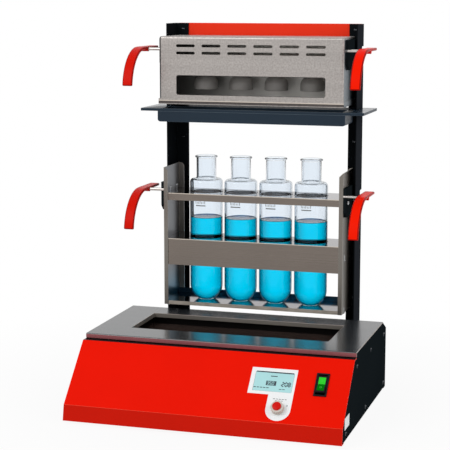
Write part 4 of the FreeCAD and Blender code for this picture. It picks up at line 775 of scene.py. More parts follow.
def colour_setting(label, note, *levels):
    return bpy.props.FloatVectorProperty(name=label, description=note, subtype="COLOR", size=3, min=0, max=1,
                                         default=ink(*levels))


def length_setting(label, note, millimetres):
    return bpy.props.FloatProperty(name=label, description=note, default=millimetres * MM, min=0,
                                   subtype="DISTANCE", unit="LENGTH", precision=5)


class DigesterColours(bpy.types.PropertyGroup):
    panel_red: colour_setting("Panel red", "Front panel", 243, 22, 2)
    side_black: colour_setting("Side black", "Side panels and rear cover", 26, 32, 35)
    column_black: colour_setting("Column black", "Rear columns", 20, 23, 26)
    deck: colour_setting("Deck enamel", "Deck round the heating well", 38, 41, 44)
    tray: colour_setting("Tray blue grey", "Drip tray and trough", 33, 47, 60)
    hood_steel: colour_setting("Hood steel", "Suction hood", 178, 172, 168)
    rack_steel: colour_setting("Rack steel", "Rack and its shelves", 122, 113, 106)
    grip_red: colour_setting("Grip red", "Handle sleeves", 255, 30, 4)
    liquid: colour_setting("Liquid", "Filling of the vessels", 0, 222, 255)
    screen: colour_setting("Display", "Lit display field", 166, 212, 214)
    knob_red: colour_setting("Knob cap", "Push cap of the jog knob", 216, 18, 10)
    rocker: colour_setting("Rocker", "Lit mains rocker", 22, 188, 20)


class DigesterSizes(bpy.types.PropertyGroup):
    fold_round: length_setting("Fold rounding", "Rounding of folded sheet edges", 0.9)
    edge_round: length_setting("Edge rounding", "Rounding of cut sheet edges", 0.35)
    plastic_round: length_setting("Moulding rounding", "Rounding of moulded edges", 0.6)
    glass_wall: length_setting("Glass wall", "Wall of the vessels", 2.2)
    grip_band: length_setting("Grip band", "Thickness of the handle sleeves", 5)
    grip_bend: length_setting("Grip bend", "Outer radius of the handles' bend", 76)
    grip_boss: length_setting("Grip boss", "Sleeve round the handle rod, radius", 4.6)
    flute_depth: length_setting("Flute depth", "Depth of the jog ring's flutes", 0.45)
    barb_depth: length_setting("Barb depth", "Height of the hose nozzle's barbs", 1.1)
    lens: bpy.props.FloatProperty(name="Lens", description="Focal length of the camera", default=114.44,
                                  min=20, subtype="NONE", unit="CAMERA")
    ambient: bpy.props.FloatProperty(name="Ambient light", description="Level of the even light",
                                     default=0.55, min=0, subtype="FACTOR")
    key_power: bpy.props.FloatProperty(name="Key lamp", description="Power of the large soft lamp",
                                       default=60, min=0, subtype="POWER", unit="POWER")
    fill_power: bpy.props.FloatProperty(name="Fill lamp", description="Power of the lamp on the right",
                                        default=22, min=0, subtype="POWER", unit="POWER")


# One operator for each piece or group of like pieces

class DIGESTER_OT_finishes(bpy.types.Operator):
    """Mix the paints, enamels, steels, plastics, glass and liquid"""
    bl_idname = "digester.finishes"
    bl_label = "Finishes"

    def execute(self, context):
        make_finishes(context.scene.digester_colours)
        return {"FINISHED"}


class DIGESTER_OT_housing(bpy.types.Operator):
    """Finish the base: skins, chassis, deck, feet and side screws"""
    bl_idname = "digester.housing"
    bl_label = "Housing"

    def execute(self, context):
        sizes = context.scene.digester_sizes
        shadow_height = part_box("front_panel")[1].z - 1 * MM
        # The bevels of its folds get a painted highlight.
        panel = rounded("front_panel", "front_panel_skin", "red_paint", sizes.fold_round, 3, edge="red_edge",
                        angle=8)
        # Painted shadow: the flat top of the front panel under the deck's flange is painted black.
        repaint(panel, "liner_enamel", lambda at, normal: at.z > shadow_height and normal.z > FLAT)
        # Painted shade: the steep lower strip gets a darker copy of the red.
        repaint(panel, "red_shade", lambda at, normal: normal.y < -0.95 and normal.z > 0.1)
        for node in ("side_panel_left", "side_panel_right", "rear_cover"):
            rounded(node, node + "_skin", "black_paint", sizes.edge_round)
        self.deck(sizes)
        self.plate()
        finish_node("chassis_tray", "zinc")
        fit_screws("side_screws", "side_panel_screws", "dark_screw", lambda centre: centre.x > 0)
        self.feet()
        return {"FINISHED"}

    def deck(self, sizes):
        """The deck: its front flange is tinted with a painted reflection of the red slope, its edges get a
        painted highlight, and its inner lip is paler.
        """
        low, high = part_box("top_plate")
        # Its bevelled edges get a painted highlight.
        piece = rounded("top_plate", "top_plate_skin", "deck_enamel", sizes.fold_round, 3, edge="deck_line")
        # Painted reflection: the front flange is tinted with the red of the slope below.
        repaint(piece, "deck_flange", lambda at, normal: normal.y < -0.95 and at.y < low.y + 1 * MM)
        repaint(piece, "deck_lip", lambda at, normal: abs(normal.z) < 0.5 and abs(at.x) < high.x - 9 * MM
                and low.y + 9 * MM < at.y < high.y - 9 * MM)

    def plate(self):
        """The bare plate low on the right side, close behind the front screw."""
        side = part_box("side_panel_right")
        at = Vector((side[1].x, side[0].y + PLATE_BACK, side[0].z + PLATE_RISE))
        piece = brick("bare_plate", at, at + Vector((0.25 * MM, PLATE_WIDTH, PLATE_HEIGHT)))
        soften(piece, 0.1 * MM)
        dress(piece, "side_panel_right", "label", replaces=False)

    def feet(self):
        fitted = []
        for low, high in loose_boxes("rubber_feet"):
            radius = (high.x - low.x) / 2
            height = high.z - low.z
            rim = radius * 0.85
            profile = [(0, height * 0.45), (radius * 0.3, height * 0.45), (radius * 0.34, height * 0.05)]
            profile += [(radius * 0.38, 0), (rim - height * 0.12, 0), (rim, height * 0.12)]
            profile += [(radius, height * 0.86), (radius - height * 0.1, height), (0, height)]
            centre = middle((low, high))
            fitted.append(spun("foot", profile, (centre.x, centre.y, low.z), 40))
        dress(joined(fitted, "base_feet"), "rubber_feet", "rubber")


class DIGESTER_OT_heater(bpy.types.Operator):
    """Finish the heating well: liner, glass ceramic, tubes, holders, reflector and board"""
    bl_idname = "digester.heater"
    bl_label = "Heater"

    def execute(self, context):
        sizes = context.scene.digester_sizes
        rounded_nodes((("well_liner", "liner_enamel", sizes.edge_round, 2),
                       ("glass_ceramic_plate", "glass_ceramic", sizes.edge_round, 2),
                       ("tube_holder_left", "ceramic", sizes.plastic_round, 2),
                       ("tube_holder_right", "ceramic", sizes.plastic_round, 2),
                       ("reflector_tray", "zinc", sizes.edge_round, 2)))
        finish_node("infrared_tubes", "quartz")
        finish_node("control_board", "circuit")
        return {"FINISHED"}


def on_panel(piece):
    """Takes a piece drawn flat at the origin to the control slope."""
    place(piece, SLOPE)
    return piece


def panel_box(node):
    """A node's lowest and highest corners in the control slope's own axes."""
    return reach([SLOPE.inverted() @ vertex.co for vertex in NODES[node].data.vertices])


# The bars of a digit's seven that are on, and where each bar runs, in widths and half heights
SEGMENTS = {"0": "abcdef", "2": "abged", "3": "abgcd", "5": "afgcd", "8": "abcdefg"}
BAR_ENDS = {"a": (0, 2, 1, 2), "b": (1, 1, 1, 2), "c": (1, 0, 1, 1), "d": (0, 0, 1, 0), "e": (0, 0, 0, 1),
            "f": (0, 1, 0, 2), "g": (0, 1, 1, 1)}


def digit_bars(digits, left, low, height, level, stroke=0.16):
    """Seven-bar digits as thin bars, lying flat."""
    width = height * 0.5
    bar = height * stroke
    bars = []
    for count, digit in enumerate(digits):
        x = left + count * width * 1.5
        for key in SEGMENTS[digit]:
            x0, y0, x1, y1 = BAR_ENDS[key]
            in_x, in_y = (-bar / 2, bar * 0.35) if x0 == x1 else (bar * 0.35, -bar / 2)
            bars.append(brick("bar", (x + x0 * width + in_x, low + y0 * height / 2 + in_y, level),
                              (x + x1 * width - in_x, low + y1 * height / 2 - in_y, level + PRINT)))
    return bars


def flat_strips(strips, left, low, level):
    """Thin printed strips, given in millimetres from a corner."""
    return [brick("strip", (left + x0 * MM, low + y0 * MM, level),
                  (left + x1 * MM, low + y1 * MM, level + PRINT)) for x0, y0, x1, y1 in strips]


class DIGESTER_OT_controls(bpy.types.Operator):
    """Finish the display, label, jog knob and mains rocker"""
    bl_idname = "digester.controls"
    bl_label = "Controls"

    def execute(self, context):
        sizes = context.scene.digester_sizes
        rounded_nodes((("panel_label", "label", 0.1 * MM, 2), ("encoder_body", "zinc", 0.2 * MM, 2),
                       ("switch_housing", "black_plastic", sizes.plastic_round, 3)))
        rounded("rocker_key", "rocker_key_body", "black_plastic", sizes.plastic_round, 3)
        self.display()
        self.legend()
        self.ring(sizes)
        self.cap()
        self.marks()
        return {"FINISHED"}

    def display(self):
        """The lit field and plain figures on it: a dark block with three digits, small ones and dashes, and a
        painted shadow along its top.
        """
        rounded("display_screen", "display_glass", "screen", 0.3 * MM)
        low, high = panel_box("display_screen")
        left = low.x + SCREEN_MARGIN
        base = low.y + SCREEN_MARGIN
        level = high.z
        # The first strip is a painted shadow along the top of the lit field; the rest is print.
        strips = [(1, 35.2, 66, 37.4), (27, 28, 38.5, 29.6), (21, 11, 38.5, 19.6)]
        strips += [(1 + 5.5 * count, 5.6, 5 + 5.5 * count, 7) for count in range(5)]
        strips += [(45, 4.4, 49.5, 5.6), (51, 4.4, 55, 5.6)]
        figures = flat_strips(strips, left, base, level)
        figures += digit_bars("208", left + 48.4 * MM, base + 11 * MM, 7.4 * MM, level, 0.26)
        dress(on_panel(joined(figures, "display_figures")), "display_screen", "print", replaces=False)
        pale = digit_bars("350", left + 22.8 * MM, base + 12.4 * MM, 5.8 * MM, level + 0.12 * MM)
        dress(on_panel(joined(pale, "display_digits")), "display_screen", "screen", replaces=False)

    def legend(self):
        """Two rows of dashes over the jog knob, and a dot beside it."""
        centre = middle(panel_box("jog_ring"))
        level = panel_box("panel_label")[1].z
        strips = [(-12 + 5 * count, 18.4, -8.4 + 5 * count, 19.6) for count in range(5)]
        strips += [(-8 + 5 * count, 15.4, -4.4 + 5 * count, 16.4) for count in range(3)]
        strips += [(13.4, 6.4, 15, 9.4)]
        marks = flat_strips(strips, centre.x, centre.y, level)
        dress(on_panel(joined(marks, "label_legend")), "panel_label", "grey_print", replaces=False)

    def ring(self, sizes):
        low, high = panel_box("jog_ring")
        cap_low, cap_high = panel_box("jog_cap")
        radius = (high.x - low.x) / 2
        inner = (cap_high.x - cap_low.x) / 2 + 0.1 * MM
        centre = middle((low, high))
        piece = drum("jog_ring_fluted", centre, radius, high.z - low.z, sides=72)
        choose_faces(piece, lambda at, normal: normal.z > 0.9)
        bpy.ops.mesh.inset(thickness=radius - inner)
        down = (0, 0, cap_low.z - 1.1 * MM - high.z)
        bpy.ops.mesh.extrude_region_move(TRANSFORM_OT_translate={"value": down})
        leave()
        choose_faces(piece, lambda at, normal: abs(normal.z) < 0.1
                     and (at - centre).xy.length > inner * 1.1
                     and int((math.degrees(math.atan2(at.y - centre.y, at.x - centre.x)) % 360) / 5) % 2 == 0)
        bpy.ops.mesh.inset(thickness=0.15 * MM, depth=-sizes.flute_depth, use_individual=True)
        leave()
        soften(piece, 0.12 * MM, 2, 30)
        dress(on_panel(piece), "jog_ring", "knob_grey")

    def cap(self):
        low, high = panel_box("jog_cap")
        radius = (high.x - low.x) / 2
        centre = middle((low, high))
        height = high.z - low.z
        crown = 0.9 * MM
        edge = 1.1 * MM
        profile = [(0, 0), (radius - 0.3 * MM, 0), (radius, 0.3 * MM)]
        profile += arc(radius - edge, height - crown - edge, edge, 0, 78, 5)
        profile += [(radius * 0.6, height - crown * 0.36), (radius * 0.3, height - crown * 0.1), (0, height)]
        piece = spun("jog_cap_crowned", profile, (centre.x, centre.y, low.z), 64)
        dress(on_panel(piece), "jog_cap", "knob_red")

    def marks(self):
        """The lit lenses let into the rocker's two halves, each with its plain I or O."""
        centre = middle(panel_box("switch_housing"))
        stroke = 0.7 * MM
        gap = 0.3 * MM
        down = Matrix.Translation((centre.x, centre.y, ROCKER_FACE))
        up = down @ Matrix.Rotation(-2 * ROCKER_TILT, 4, "X")
        # The upper lens glows from the rocker's lamp; the lower one is painted darker as shade.
        halves = ((down, gap, LENS_LENGTH, "rocker", "rocker_lens_lit"),
                  (up, -LENS_LENGTH, -gap, "rocker_dark", "rocker_lens_shaded"))
        for seat, start, end, finish, name in halves:
            lens = brick(name, (-LENS_HALF, start, -0.6 * MM), (LENS_HALF, end, LENS_TOP))
            soften(lens, 0.3 * MM, 3)
            place(lens, seat)
            dress(on_panel(lens), "rocker_key", finish, replaces=False)
        bar = brick("on_mark", (-stroke / 2, 0, 0), (stroke / 2, 3.6 * MM, PRINT))
        place(bar, down @ Matrix.Translation((0, LENS_LENGTH / 2 - 1.8 * MM, LENS_TOP)))
        inner, outer = 1.3 * MM, 1.8 * MM
        ring = spun("off_mark", [(inner, 0), (outer, 0), (outer, PRINT), (inner, PRINT), (inner, 0)], steps=40)
        place(ring, up @ Matrix.Translation((0, -LENS_LENGTH / 2, LENS_TOP)))
        piece = joined([bar, ring], "rocker_marks")
        dress(on_panel(piece), "rocker_key", "rocker_print", replaces=False)


class DIGESTER_OT_inlet(bpy.types.Operator):
    """Finish the power inlet and its pins"""
    bl_idname = "digester.inlet"
    bl_label = "Power inlet"

    def execute(self, context):
        rounded("power_inlet", "power_inlet_moulding", "black_plastic",
                context.scene.digester_sizes.plastic_round, 2)
        low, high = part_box("power_inlet")
        centre = middle((low, high))
        floor = high.y - 16 * MM
        pins = []
        for step, rise in ((-1, -0.35), (0, 0.35), (1, -0.35)):
            x = centre.x + 7 * MM * step
            z = centre.z + 4 * MM * rise
            pin = brick("pin", (x - 1.1 * MM, floor, z - 2.1 * MM),
                        (x + 1.1 * MM, floor + 9.2 * MM, z + 2.1 * MM))
            soften(pin, 0.5 * MM, 2)
            pins.append(pin)
        dress(joined(pins, "inlet_pins"), "power_inlet", "rod_steel", replaces=False)
        return {"FINISHED"}


class DIGESTER_OT_columns(bpy.types.Operator):
    """Finish the columns, the crossbar and their screws"""
    bl_idname = "digester.columns"
    bl_label = "Columns"

    def execute(self, context):
        sizes = context.scene.digester_sizes
        for node in ("column_left", "column_right"):
            column = rounded(node, node + "_skin", "column_black", sizes.fold_round, 3)
            # Painted light: the outward web is painted a lighter grey than the rest of the column.
            repaint(column, "column_web", lambda at, normal: normal.x * at.x > 0 and abs(normal.x) > FLAT)
        bar = cad_copy("crossbar", "crossbar_skin")
        for side in (-1, 1):
            divide(bar, ((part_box("crossbar")[1].x - BAR_END) * side, 0, 0), (side, 0, 0), clear_outer=True)
        # The crossbar gets a lighter red as painted light, and a painted highlight on its fold bevels.
        for key in ("red_bar", "red_edge"):
            bar.data.materials.append(FINISHES[key])
        soften(bar, sizes.fold_round, 3, edge_slot=1)
        dress(bar, "crossbar")
        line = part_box("column_left")[1].y - SCREW_LINE
        fit_screws("column_screws", "column_socket_screws", "dark_screw", lambda centre: centre.y < line)
        return {"FINISHED"}


class DIGESTER_OT_tray(bpy.types.Operator):
    """Finish the drip tray and its trough"""
    bl_idname = "digester.tray"
    bl_label = "Drip tray"

    def execute(self, context):
        sizes = context.scene.digester_sizes
        plate = rounded("tray_plate", "tray_plate_skin", "tray_enamel", sizes.fold_round, 3, edge="tray_line")
        # Between the hood's sides the tray's top is painted dark, a painted shadow and dark reflection; beyond
        # them it is glossier.
        for side in (-1, 1):
            divide(plate, (HOOD_SHADOW_HALF * side, 0, 0), (1, 0, 0))
        repaint(plate, "tray_gloss", lambda at, normal: normal.z > FLAT and abs(at.x) > HOOD_SHADOW_HALF)
        repaint(plate, "tray_shade", lambda at, normal: normal.z > FLAT and abs(at.x) < HOOD_SHADOW_HALF)
        rounded_nodes((("tray_trough", "tray_enamel", sizes.edge_round, 2, "tray_line"),))
        return {"FINISHED"}


def hooks_and_rods(unit, sizes):
    """The hook plates and rods that carry the rack or the hood."""
    for hand in HANDS:
        node = "%s_hook_%s" % (unit, hand)
        rounded(node, node + "_skin", "black_paint", sizes.plastic_round)
        finish_node("%s_rod_%s" % (unit, hand), "rod_steel")


class DIGESTER_OT_rack(bpy.types.Operator):
    """Finish the rack: side plates, shelves, hooks, rods and screws"""
    bl_idname = "digester.rack"
    bl_label = "Rack"

    def execute(self, context):
        sizes = context.scene.digester_sizes
        for node in ("rack_side_left", "rack_side_right"):
            # The plates' bevelled edges get a painted highlight.
            plate = rounded(node, node + "_skin", "plate_steel", sizes.edge_round, 2, edge="bright_edge")
            # Painted shade and reflection on the plates' inner faces.
            repaint(plate, "plate_inner", lambda at, normal: normal.x * at.x < 0 and abs(normal.x) > FLAT)
        for node in ("rack_top_shelf", "rack_middle_shelf"):
            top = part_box(node)[1].z
            shelf = rounded(node, node + "_skin", "rack_steel", sizes.edge_round, 2, edge="bright_edge",
                            cuts=(top - SHELF_HIGHLIGHT,))
            # A painted highlight along the top of the shelf's front, and a glossier top.
            repaint(shelf, "bright_edge", lambda at, normal: at.z > top - SHELF_HIGHLIGHT and normal.y < -0.9)
            repaint(shelf, "shelf_steel", lambda at, normal: normal.z > FLAT)
        shelf = rounded("rack_bottom_shelf", "rack_bottom_shelf_skin", "shelf_steel", sizes.edge_round, 2,
                        edge="bright_edge")
        rear = middle(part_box("rack_bottom_shelf")).y
        # The bottom shelf's front lip is painted light as a highlight, its rear lip dark as shade.
        repaint(shelf, "bright_edge", lambda at, normal: normal.y < -0.9 and at.y < rear)
        repaint(shelf, "shelf_shade", lambda at, normal: normal.y < -0.9 and at.y > rear)
        hooks_and_rods("rack", sizes)
        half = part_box("rack_side_right")[1].x
        fit_screws("rack_screws", "rack_socket_screws", "zinc",
                   lambda centre: (centre.x > 0) == (abs(centre.x) > half))
        return {"FINISHED"}


class DIGESTER_OT_hood(bpy.types.Operator):
    """Finish the suction hood: shell, manifold, caps, nozzle, hooks, rods and screws"""
    bl_idname = "digester.hood"
    bl_label = "Hood"

    def execute(self, context):
        sizes = context.scene.digester_sizes
        self.shell(sizes)
        self.dark_window_rim()
        rounded_nodes((("hood_manifold", "nozzle", sizes.edge_round, 2),))
        hooks_and_rods("hood", sizes)
        fit_screws("hood_screws", "hood_socket_screws", "zinc", lambda centre: centre.x < 0)
        self.caps()
        self.nozzle(sizes)
        return {"FINISHED"}

    def shell(self, sizes):
        """The hood's shell: painted shade within, at its sides and round its openings, and on its hem a band of
        painted shade under a painted highlight line.
        """
        low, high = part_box("hood_shell")
        near = SHELL_DEPTH
        piece = rounded("hood_shell", "hood_shell_skin", "hood_steel", sizes.edge_round * 1.6, 2,
                        edge="bright_edge", cuts=[low.z + rise for rise in (HEM_FOOT, HEM_SHADE, HEM_HIGHLIGHT)])
        # The hem: plain steel over its top, a painted highlight line below, and a band of painted shade under
        # that.
        repaint(piece, "hood_steel", lambda at, normal: low.z + HEM_HIGHLIGHT < at.z < low.z + HEM_TOP)
        repaint(piece, "bright_edge", lambda at, normal: low.z + HEM_SHADE < at.z < low.z + HEM_HIGHLIGHT)
        repaint(piece, "hem_steel", lambda at, normal: low.z + HEM_FOOT < at.z < low.z + HEM_SHADE)
        # Painted shade on the hood's outer sides.
        repaint(piece, "hood_side", lambda at, normal: abs(normal.x) > FLAT and normal.x * at.x > 0
                and abs(at.x) > high.x - near)
        # Painted shade: a dark line down the hood's left front edge.
        repaint(piece, "cap_seal", lambda at, normal: at.x < low.x + near and at.y < low.y + near
                and normal.x < -0.1 and normal.y < -0.1)
        # Painted shade inside the hood, darker towards the left.
        repaint(piece, "hood_inside", lambda at, normal: abs(at.x) > high.x - near and normal.x * at.x < 0
                or at.y > high.y - near and normal.y < -0.5
                or at.y < low.y + near and normal.y > 0.5
                or at.z > high.z - near and normal.z < -0.5)
        # Painted shade on the window's cut rim.
        repaint(piece, "cap_seal", lambda at, normal: at.y < low.y + near and abs(normal.y) < 0.9
                and abs(at.x) < high.x - near and low.z + HEM_TOP < at.z < high.z - near)

    def dark_window_rim(self):
        """A dark edging let into the window, as painted shade round its rim."""
        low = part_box("hood_shell")[0]
        piece = upright("window_edging", WINDOW_HALF * 2, WINDOW_HEIGHT,
                        (0, low.y + 1.25 * MM, low.z + WINDOW_RISE + WINDOW_HEIGHT / 2))
        enter(piece)
        bpy.ops.mesh.bevel(offset=WINDOW_ROUND, segments=6, affect="VERTICES")
        choose_all()
        bpy.ops.mesh.inset(thickness=WINDOW_SHADE_WIDTH)
        bpy.ops.mesh.delete(type="FACE")
        choose_all()
        bpy.ops.mesh.extrude_region_move(TRANSFORM_OT_translate={"value": (0, WINDOW_SHADE_WIDTH, 0)})
        leave()
        recalculate(piece)
        dress(piece, "hood_shell", "cap_seal", replaces=False)

    def caps(self):
        """The suction bells and the dark seals round their stubs."""
        boxes = loose_boxes("suction_caps")
        low, high = boxes[0]
        radius = (high.x - low.x) / 2
        height = high.z - low.z
        bow = radius - BELL_STUB
        profile = arc(radius - BELL_WALL / 2, BELL_WALL / 2, BELL_WALL / 2, -180, 0, 6)
        profile += [(radius, height - bow)] + arc(BELL_STUB, height - bow, bow, 6, 84, 12)
        inside = BELL_STUB - 1.5 * MM
        profile += [(BELL_STUB, height), (inside, height), (inside, height - BELL_WALL)]
        profile += arc(BELL_STUB, height - bow, bow - BELL_WALL, 84, 0, 12)
        profile += [(radius - BELL_WALL, BELL_WALL / 2)]
        model = spun("cap_model", profile, steps=56)
        fitted = [copy_of(model, ((low.x + high.x) / 2, (low.y + high.y) / 2, low.z)) for low, high in boxes]
        bpy.data.objects.remove(model)
        dress(joined(fitted, "suction_bells"), "suction_caps", "cap_polymer")
        section = arc(11.5 * MM, 0, 1.6 * MM, -180, 180, 16)
        seals = [spun("seal", section, ((low.x + high.x) / 2, (low.y + high.y) / 2, high.z - 3.2 * MM), 40)
                 for low, high in boxes]
        dress(joined(seals, "bell_seals"), "suction_caps", "cap_seal", replaces=False)

    def nozzle(self, sizes):
        low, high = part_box("extraction_nozzle")
        centre = middle((low, high))
        collar_radius = (high.x - low.x) / 2
        collar = 5 * MM
        radius = 8 * MM
        bore = 5.5 * MM
        length = high.y - low.y
        root = radius - sizes.barb_depth
        chamfer = 0.6 * MM
        profile = [(bore, 0.3 * MM), (bore + 1.8 * MM, 0),
                   (collar_radius - chamfer, 0), (collar_radius, chamfer),
                   (collar_radius, collar - chamfer), (collar_radius - chamfer, collar),
                   (root + 1 * MM, collar), (root, collar + 1 * MM)]
        step = (length - collar - 3 * MM) / 4
        for count in range(4):
            start = collar + 2 * MM + count * step
            profile += [(root, start), (radius, start + 0.3 * MM), (root, start + step)]
        profile += [(root, length - 0.4 * MM), (root - 0.4 * MM, length), (bore, length), (bore, 0.3 * MM)]
        piece = spun("nozzle_barbed", profile, steps=48)
        place(piece, Matrix.Translation((centre.x, low.y, centre.z)) @ Matrix.Rotation(-math.pi / 2, 4, "X"))
        dress(piece, "extraction_nozzle", "nozzle")


class DIGESTER_OT_grips(bpy.types.Operator):
    """Form the four bent handle sleeves"""
    bl_idname = "digester.grips"
    bl_label = "Grips"

    def execute(self, context):
        sizes = context.scene.digester_sizes
        for unit in ("rack", "hood"):
            for hand in HANDS:
                self.sleeve(unit, hand, sizes)
        return {"FINISHED"}

    def sleeve(self, unit, hand, sizes):
        node = "%s_grip_%s" % (unit, hand)
        low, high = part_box(node)
        rod = middle(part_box("%s_rod_%s" % (unit, hand)))
        width = high.x - low.x
        x = (low.x + high.x) / 2
        bend = low.y + sizes.grip_bend * math.sin(GRIP_TURN)
        piece = upright(node + "_sleeve", width, sizes.grip_band, (x, high.y, high.z - sizes.grip_band / 2))
        outline(piece)
        bpy.ops.mesh.extrude_edges_move(TRANSFORM_OT_translate={"value": (0, bend - high.y, 0)})
        pivot = (0, bend, high.z - sizes.grip_bend)
        bpy.ops.mesh.spin(steps=36, angle=-GRIP_TURN, center=pivot, axis=(1, 0, 0))
        leave()
        recalculate(piece, fill=True)
        boss = drum("boss", (x, rod.y, rod.z), sizes.grip_boss, width, (0, math.pi / 2, 0))
        # Painted shade: the left sleeves take a darker red than the right ones.
        for part, round_edge in ((piece, 2.2 * MM), (boss, 0.8 * MM)):
            for key in ("grip_" + hand, "grip_edge"):
                part.data.materials.append(FINISHES[key])
            # The rounded edges get the darker red of painted shade.
            soften(part, round_edge, 5, 30, edge_slot=1)
        dress(joined([piece, boss], node + "_sleeve"), node)


class DIGESTER_OT_vessels(bpy.types.Operator):
    """Blow the four vessels and fill them"""
    bl_idname = "digester.vessels"
    bl_label = "Vessels"

    def execute(self, context):
        sizes = context.scene.digester_sizes
        low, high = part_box("vessel_1")
        glass = self.glass_profile(high.z - low.z, sizes.glass_wall)
        liquid = self.liquid_profile(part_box("liquid_1")[1].z - low.z, sizes.glass_wall)
        for number in range(1, 5):
            node = "vessel_%d" % number
            low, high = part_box(node)
            centre = middle((low, high))
            foot = (centre.x, centre.y, low.z)
            dress(spun(node + "_glass", glass, foot, 72), node, "glass")
            dress(spun(node + "_liquid", liquid, foot, 72), "liquid_%d" % number, "liquid")
            self.graduations(node, foot)
        return {"FINISHED"}

    def glass_profile(self, height, wall):
        """The outside from the round bottom up to the beaded lip, and back down the inside."""
        outside = self.wall_line(height, 0)
        outside += [(NECK_RADIUS, height - LIP_BEAD * 2.4), (NECK_RADIUS + 0.6 * MM, height - LIP_BEAD * 2.05)]
        outside += arc(LIP_RADIUS - LIP_BEAD, height - LIP_BEAD, LIP_BEAD, -70, 90, 8)
        neck = NECK_RADIUS - wall
        inside = self.wall_line(height, wall)
        inside += [(neck, height - LIP_BEAD), (neck + 0.5 * MM, height - 0.4 * MM)]
        return outside + inside[::-1]

    def wall_line(self, height, inset):
        """Round bottom, straight body, rounded shoulder, sloped step and a short curve into the neck."""
        top = height - NECK_LENGTH
        corner = SHOULDER_ROUND
        turn = 2.6 * MM
        line = arc(0, VESSEL_RADIUS, VESSEL_RADIUS - inset, -90, 0, 18)
        line += arc(VESSEL_RADIUS - corner, top - corner, corner - inset, 0, 70, 8)
        return line + arc(NECK_RADIUS + turn, top + turn * 1.1, turn + inset, -108, -180, 6)

    def liquid_profile(self, level, wall):
        radius = VESSEL_RADIUS - wall + 0.25 * MM
        profile = arc(0, VESSEL_RADIUS, radius, -90, 0, 18)
        profile += [(radius, level + 1.2 * MM), (radius - 0.6 * MM, level + 0.6 * MM),
                    (radius - 1.6 * MM, level + 0.12 * MM), (radius - 3.4 * MM, level), (0, level)]
        return profile

    def graduations(self, node, foot):
        """A plain bar under a row of short ticks, printed on the glass."""
        radius = VESSEL_RADIUS + 0.02 * MM
        marks = [wrapped("bar", radius, 0.12 * MM, 184.6 * MM, 186.6 * MM, -112, -76)]
        for count in range(7):
            start = -113 + 5.6 * count
            high = 196 if count % 3 == 0 else 193
            marks.append(wrapped("tick", radius, 0.12 * MM, 189 * MM, high * MM, start, start + 1.8, 2))
        for mark in marks:
            place(mark, Matrix.Translation(foot))
        dress(joined(marks, node + "_graduations"), node, "grey_print", replaces=False)


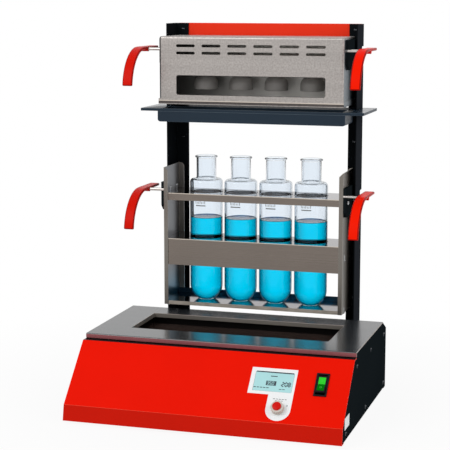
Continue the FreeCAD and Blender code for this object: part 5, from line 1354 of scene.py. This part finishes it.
class DIGESTER_OT_stage(bpy.types.Operator):
    """Set up the floor, the lights, the surroundings and the camera"""
    bl_idname = "digester.stage"
    bl_label = "Stage"

    def execute(self, context):
        sizes = context.scene.digester_sizes
        context.scene.view_settings.view_transform = "Standard"
        self.floor()
        self.surroundings(context.scene, sizes.ambient)
        self.lamp("Key lamp", (-1.9, -2.9, 2.7), 2.6, sizes.key_power)
        self.lamp("Fill lamp", (2.9, -1.4, 1.8), 2.2, sizes.fill_power)
        self.camera(context.scene, sizes.lens)
        return {"FINISHED"}

    def seen(self, tree):
        """One for rays that show the background: straight, mirrored or through glass."""
        path = add_node(tree, "LightPath", {}).outputs
        both = reckon(tree, "MAXIMUM", path["Is Camera Ray"], path["Is Glossy Ray"])
        return reckon(tree, "MAXIMUM", both, path["Is Transmission Ray"])

    def floor(self):
        """A pale floor that the camera sees as white, but for a faint shade under the piece."""
        pick()
        bpy.ops.mesh.primitive_circle_add(vertices=96, radius=60, fill_type="NGON")
        piece = named("floor")
        made = Finish("Pale floor", Roughness=0.9, Specular_IOR_Level=0.0)
        tree = made.tree
        tone = noise(tree, object_place(tree), 3.0, 3)
        made.give(Base_Color=blend(tree, tone, (0.7, 0.7, 0.7), (0.73, 0.73, 0.73)))
        length = add_node(tree, "VectorMath", {0: object_place(tree)}, operation="LENGTH").outputs["Value"]
        white = reckon(tree, "MULTIPLY", spread(tree, length, 0.25, 0.8, 0.92, 1.0), self.seen(tree))
        glow = add_node(tree, "Emission", {}).outputs["Emission"]
        mix = add_node(tree, "MixShader", {"Fac": white, 1: made.shader.outputs["BSDF"], 2: glow})
        feed(tree, tree.nodes["Material Output"].inputs["Surface"], mix.outputs["Shader"])
        piece.data.materials.append(made.material)

    def surroundings(self, scene, level):
        world = bpy.data.worlds.new("Studio")
        world.use_nodes = True
        scene.world = world
        tree = world.node_tree
        back = tree.nodes["Background"].inputs
        feed(tree, back["Color"], (1, 1, 1))
        feed(tree, back["Strength"], spread(tree, self.seen(tree), 0.0, 1.0, level, 1.0))

    def lamp(self, name, at, size, power):
        data = bpy.data.lights.new(name, "AREA")
        data.shape = "DISK"
        data.size = size
        data.energy = power
        lamp = bpy.data.objects.new(name, data)
        bpy.context.scene.collection.objects.link(lamp)
        lamp.location = at
        lamp.rotation_euler = (Vector((0, 0, 0.3)) - Vector(at)).to_track_quat("-Z", "Y").to_euler()

    def camera(self, scene, lens):
        data = bpy.data.cameras.new("Photograph view")
        data.sensor_width = 36
        data.lens = lens
        data.clip_end = 200
        camera = bpy.data.objects.new("Photograph view", data)
        scene.collection.objects.link(camera)
        camera.location = CAMERA_AT
        camera.rotation_euler = (math.pi / 2 - CAMERA_DIP, 0, CAMERA_TURN)
        scene.camera = camera


class DIGESTER_PT_panel(bpy.types.Panel):
    """Lists the block digester's pieces"""
    bl_idname = "DIGESTER_PT_panel"
    bl_label = "Block Digester"
    bl_space_type = "VIEW_3D"
    bl_region_type = "UI"
    bl_category = "Digester"

    def draw(self, context):
        layout = self.layout
        for step in STEPS:
            layout.operator(step.bl_idname)
        for group in (context.scene.digester_colours, context.scene.digester_sizes):
            box = layout.box()
            for key in group.__annotations__:
                box.prop(group, key)


STEPS = (DIGESTER_OT_finishes, DIGESTER_OT_housing, DIGESTER_OT_heater, DIGESTER_OT_controls, DIGESTER_OT_inlet,
         DIGESTER_OT_columns, DIGESTER_OT_tray, DIGESTER_OT_rack, DIGESTER_OT_hood, DIGESTER_OT_grips,
         DIGESTER_OT_vessels, DIGESTER_OT_stage)
CLASSES = (DigesterColours, DigesterSizes, *STEPS, DIGESTER_PT_panel)


def register():
    for kind in CLASSES:
        bpy.utils.register_class(kind)
    bpy.types.Scene.digester_colours = bpy.props.PointerProperty(type=DigesterColours)
    bpy.types.Scene.digester_sizes = bpy.props.PointerProperty(type=DigesterSizes)


def unregister():
    del bpy.types.Scene.digester_sizes
    del bpy.types.Scene.digester_colours
    for kind in reversed(CLASSES):
        bpy.utils.unregister_class(kind)


def main():
    register()
    for step in STEPS:
        group, name = step.bl_idname.split(".")
        getattr(getattr(bpy.ops, group), name)()


if __name__ == "__main__":
    main()
